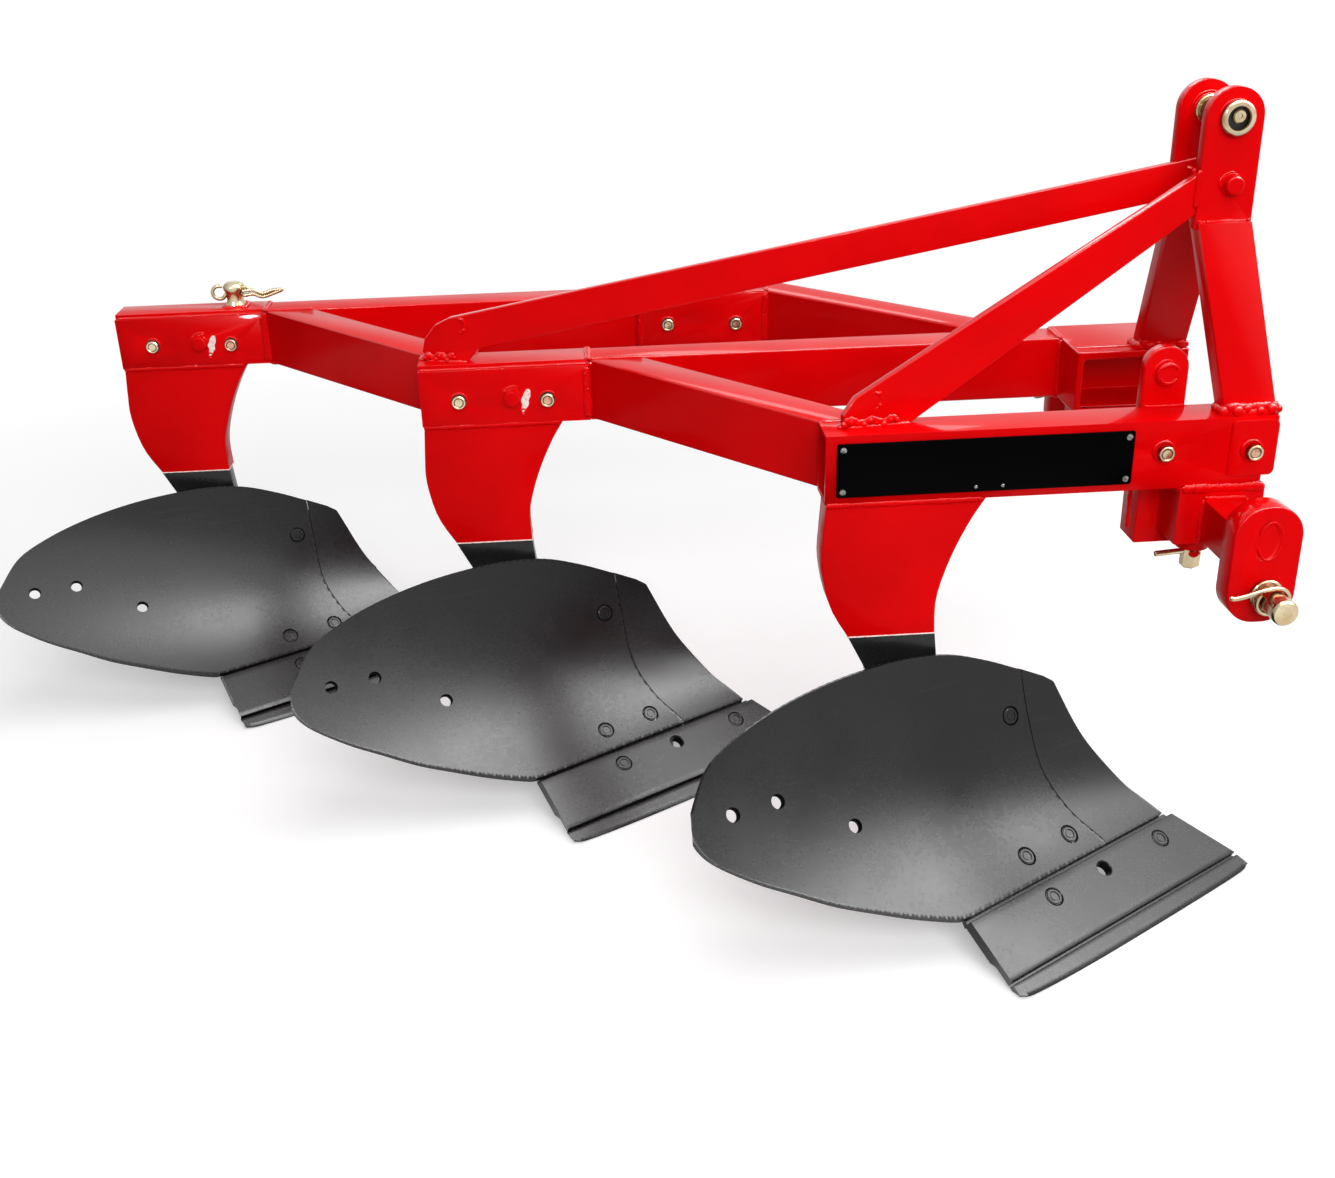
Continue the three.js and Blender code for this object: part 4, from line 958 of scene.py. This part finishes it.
for number in (2, 3):
    boss = BOSS + STEP[number - 1]
    rings += [base_ring(boss, 12.2, 1.8), crown(boss, 12.6, 55, 165, number),
              crown(boss, 14.4, 70, 125, number + 4)]
    rings += lumps([boss + spot for spot in ((-9, 0, 9), (-3, 0, 13), (5, 0, 12))], 2.4, number)
    rings += [bare_patch(boss, 0.9, 1.7), base_ring(boss + (14.0, 0, -19.5), 5.4, 3.0),
              crown(boss + (2, 0, 2), 13.4, 60, 140, 7)]
    rings.append(turned([(7.6, 9.4), (8.9, 9.2), (9.8, 8.2), (10.2, 7.0), (10.2, -0.3)], boss, Y_NEAR, 44))
    placed(f"paint_chip_{number}", [bare_patch(boss, 1.5)], PRIMER)
rings += [base_ring(MAST_BOLT, 12.6, 2.2), crown(MAST_BOLT, 12.6, 80, 200, 3), base_ring(TOP_PIN, 20.2, 1.6)]
rings += [base_ring(np.array(LUG_BOLT) + (0, 9, 0), 16.0, 1.8), crown(LUG_BOLT, 11.4, 30, 150, 5),
          crown(LUG_BOLT, 10.6, 200, 330, 6)]
placed("painted_rings", rings, RED)
long_bolt = [[(7.2, 14.0), (8.8, 13.7), (9.9, 12.6), (10.2, 11.0), (10.2, 0.3), (7.9, 0.3)],
             [(7.9, 1), (7.9, -92)],
             [(9.0, -90.4), (10.6, -91.2), (11.2, -92.6), (11.2, -99.0), (10.4, -100.6), (6.0, -101)]]
placed("mast_bolt_turned", [turned(rows, MAST_BOLT, Y_NEAR, 44) for rows in long_bolt], RED, ["mast_bolt"])
# Black rings of painted shade round and inside the bolt heads.
placed("bolt_painted_shade_rings", shade_rings, BLACK)
placed("bolt_middles_plain", middles[0], ZINC)
placed("bolt_middles_coppery", middles[1], COPPER)


# -------------------- zinc pins, their rings and handles


def wire(corners, wide, tall, up, count=70):
    """Wire along a smooth curve through points, with rounded ends."""
    path = rounded(corners, count)
    run = np.r_[0, np.cumsum(np.linalg.norm(np.diff(path, axis=0), axis=1))]
    end = np.clip(np.minimum(run, run[-1] - run) / wide, 0.02, 1)
    ease = np.sqrt(end * (2 - end))
    return swept(path, wide * ease, tall * ease, up, 14)


def circle_points(centre, radius, low, high, count, lean=0.0):
    """Points of an upright circle facing the near side, angles in degrees; lean pulls its top nearer."""
    turn = np.radians(np.linspace(low, high, count))
    return [(centre[0] + radius * math.cos(a), centre[1] - lean * math.sin(a), centre[2] + radius * math.sin(a))
            for a in turn]


def top_pin():
    """Collar ring with a deep recess round the pin's small end, the shaft and its far collars."""
    near = [(12.2, 0.8), (12.4, 9.4), (13.2, 10.8), (15.6, 11.0), (17.2, 10.4), (18.8, 8.4), (18.8, 0.3),
            (12.2, 0.3)]
    inner = [(2.4, 4.6), (3.0, 6.4), (6.2, 6.6), (7.5, 5.2), (7.5, 0.5)]
    shaft = [(11.0, -111), (12.0, -109), (12.0, -1)]
    far = [(12.1, -91.4), (17.0, -91.4), (18.2, -92.6), (18.2, -99.0), (17.0, -100.3), (12.1, -100.3)]
    between = [(12.1, -69.0), (15.0, -69.0), (16.4, -70.4), (16.4, -76.6), (12.1, -76.6)]
    parts = [turned(rows, TOP_PIN, Y_NEAR, 56) for rows in (near, shaft, far, between)]
    return parts + [turned(inner, np.array(TOP_PIN) + (2.0, 0, 1.6), Y_NEAR, 24)]


def lower_pin(name):
    """Pin with a shoulder washer, a plated end cap with a chamfer and a coppery shaft between."""
    x, z = LOWER_PIN
    at, axis = (x, ARM_FACE[name], z), Y_NEAR if name == "near" else Y_FAR
    washer = [(13.5, 0.3), (17.2, 0.3), (18.6, 1.4), (18.6, 6.4), (17.4, 7.8), (14.8, 8.2), (13.5, 8.0)]
    cap = [(12.4, 54.0), (13.0, 53.9), (14.7, 51.6), (14.9, 50.6), (14.9, 42.6), (14.2, 41.8), (11.0, 41.8)]
    tail = [(11.4, -38.0), (13.4, -36.4), (13.4, 1.0)]
    groove = [(13.9, 7.0), (13.9, 12.5), (13.3, 13.0), (13.3, 16.0), (13.9, 16.5), (13.9, 42.4)]
    return [turned(rows, at, axis, 52) for rows in (washer, cap, tail)], [turned(groove, at, axis, 52)]


def linch(name):
    """Flattened wire ring round the pin whose end leaves over the top and sweeps rearwards to a flared tip."""
    way = 1 if name == "near" else -1
    x, z = LOWER_PIN
    y = ARM_FACE[name] - 20 * way
    leg = [(x - back, y - out * way, z + up) for back, out, up in (
        (14, 5.2, 15.6), (25, 5.0, 12.2), (37, 4.6, 8.6), (46, 4.4, 7.4), (50, 4.4, 9.6))]
    return [wire(circle_points((x, y, z), 17.2, -215, 98, 22, 4.5 * way) + leg, 2.6, 3.3, Y_FAR, 120)]


def lock_pin(name):
    """Six-sided pin with chamfered foot and a hollow handle that points rearwards."""
    y = LOCK_PIN_Y[name]
    shank = [(8.8, 0), (11.6, 2.2), (11.8, 3.4), (11.8, 44), (9.0, 45.5)]
    handle = [(2.0, 30), (2.0, 42.2), (2.8, 43.0), (3.5, 42.0), (3.5, 8)]
    return [turned(shank, (273, y, 358.7), (0.02, 0.0, 1), 6),
            turned(handle, (271, y - 1.5, 380.6), (-1, -0.04, -0.05), 24)]


def rear_pin():
    """Upright pin: flared foot, waist, rounded head, an eye, an open ring and a two-wire clip."""
    x, y, _ = REAR_PIN
    head = [(16.4, 552.4), (16.0, 555), (13.2, 558.5), (12.4, 563), (12.6, 569), (14.4, 574), (16.0, 578),
            (16.0, 581.5), (14.0, 585.2), (10.0, 587.6), (5.0, 588.2)]
    parts = [turned([(8.0, 526), (8.0, 553)], REAR_PIN, Z_UP, 36), turned(head, REAR_PIN, Z_UP, 44)]
    eye = circle_points((x + 18, y - 5, 574), 6.4, 0, 345, 18)
    hook = circle_points((x - 22, y - 4, 573.5), 9.8, 55, 352, 20)
    parts += [wire(eye, 2.3, 2.3, Y_FAR, 60), wire(hook, 2.8, 2.8, Y_FAR, 80)]
    for lift in (-3.2, 3.2):
        leg = [(x + ahead, y - 10, z + ease * lift) for ahead, z, ease in (
            (13, 572, 1), (30, 573.5, 1), (44, 568.5, 0.8), (60, 573, 0.8), (76, 576, 0))]
        parts.append(wire(leg, 2.7, 2.7, Y_FAR, 60))
    return parts


placed("top_link_pin_turned", top_pin(), ZINC, ["top_link_pin", "top_pin_collar"])
# Painted shade: a black disc on the floor of the pin's recess stands in for the shade inside it.
recess = turned([(6.0, 2.2), (12.3, 2.2), (12.3, 0.6)], TOP_PIN, Y_NEAR, 40)
placed("top_link_pin_recess_shade", [recess], BLACK)
for name in ("near", "far"):
    body, shaft = lower_pin(name)
    placed(f"lower_link_pin_{name}_plated", body, ZINC, [f"lower_link_pin_{name}"])
    placed(f"lower_link_pin_{name}_shaft", shaft, COPPER)
    placed(f"linch_pin_{name}_wire", linch(name), ZINC, [f"linch_pin_{name}"], 60)
    placed(f"lock_pin_{name}_handle", lock_pin(name), ZINC, [f"lock_pin_{name}"])
placed("rear_pin_clip", rear_pin(), ZINC, ["rear_pin"], 50)

# -------------------- raised marks, paint edges and nameplate screws
far_hole = (TOP_PIN[0], MAST_FACE["mast_far"], TOP_PIN[2])
touches = [base_ring(far_hole, 21.0, 2.6), base_ring(far_hole, 18.2, 4.4)]
touches += [bead([(266, 316, 381), (273, 315.6, 378), (279, 316, 382)], Y_NEAR, 3.4, 1.4, 3)]
touches += ring_of(-978, -946, 1027, 1055, 552, 4.6, 3.4, 21)
for name, way in (("near", Y_NEAR), ("far", Y_FAR)):
    for low, high in ((20, 160), (200, 340)):
        turn = np.radians(np.linspace(low, high, 40))
        level = np.full(40, float(ARM_FACE[name]))
        lip = np.stack([295 + 13.2 * np.cos(turn), level, 451 + 22.2 * np.sin(turn)], 1)
        touches.append(bead(lip, way, 1.2, 0.9, low))
placed("paint_dabs", touches, RED, smooth_angle=80)
lines = []
for number in (1, 2, 3):
    loop = PAINT_END + STEP[number - 1]
    sides = [resample(pair, 12) for pair in zip(loop, np.roll(loop, -1, 0))]
    lines += [swept(side, 0.7, 0.9, Z_UP, 8) for side in sides]
placed("paint_lines", lines, PRIMER, smooth_angle=80)

(x0, y0, z0), (x1, _, z1) = local_box("name_plate")
corner_screw = [(0.7, 0.5), (1.0, 1.3), (2.4, 1.5), (3.6, 0.9), (3.9, -0.3)]
small_screw = [(0.5, 0.9), (1.6, 0.8), (2.1, 0.3), (2.2, -0.3)]
heads = [turned(corner_screw, (x, y0, z), Y_NEAR, 28) for x in (x0 + 7, x1 - 7) for z in (z0 + 7, z1 - 7)]
heads += [turned(small_screw, (x, y0, z0 + 6), Y_NEAR, 20) for x in (x0 + 160, x0 + 191)]
placed("nameplate_screws", heads, SCREW)
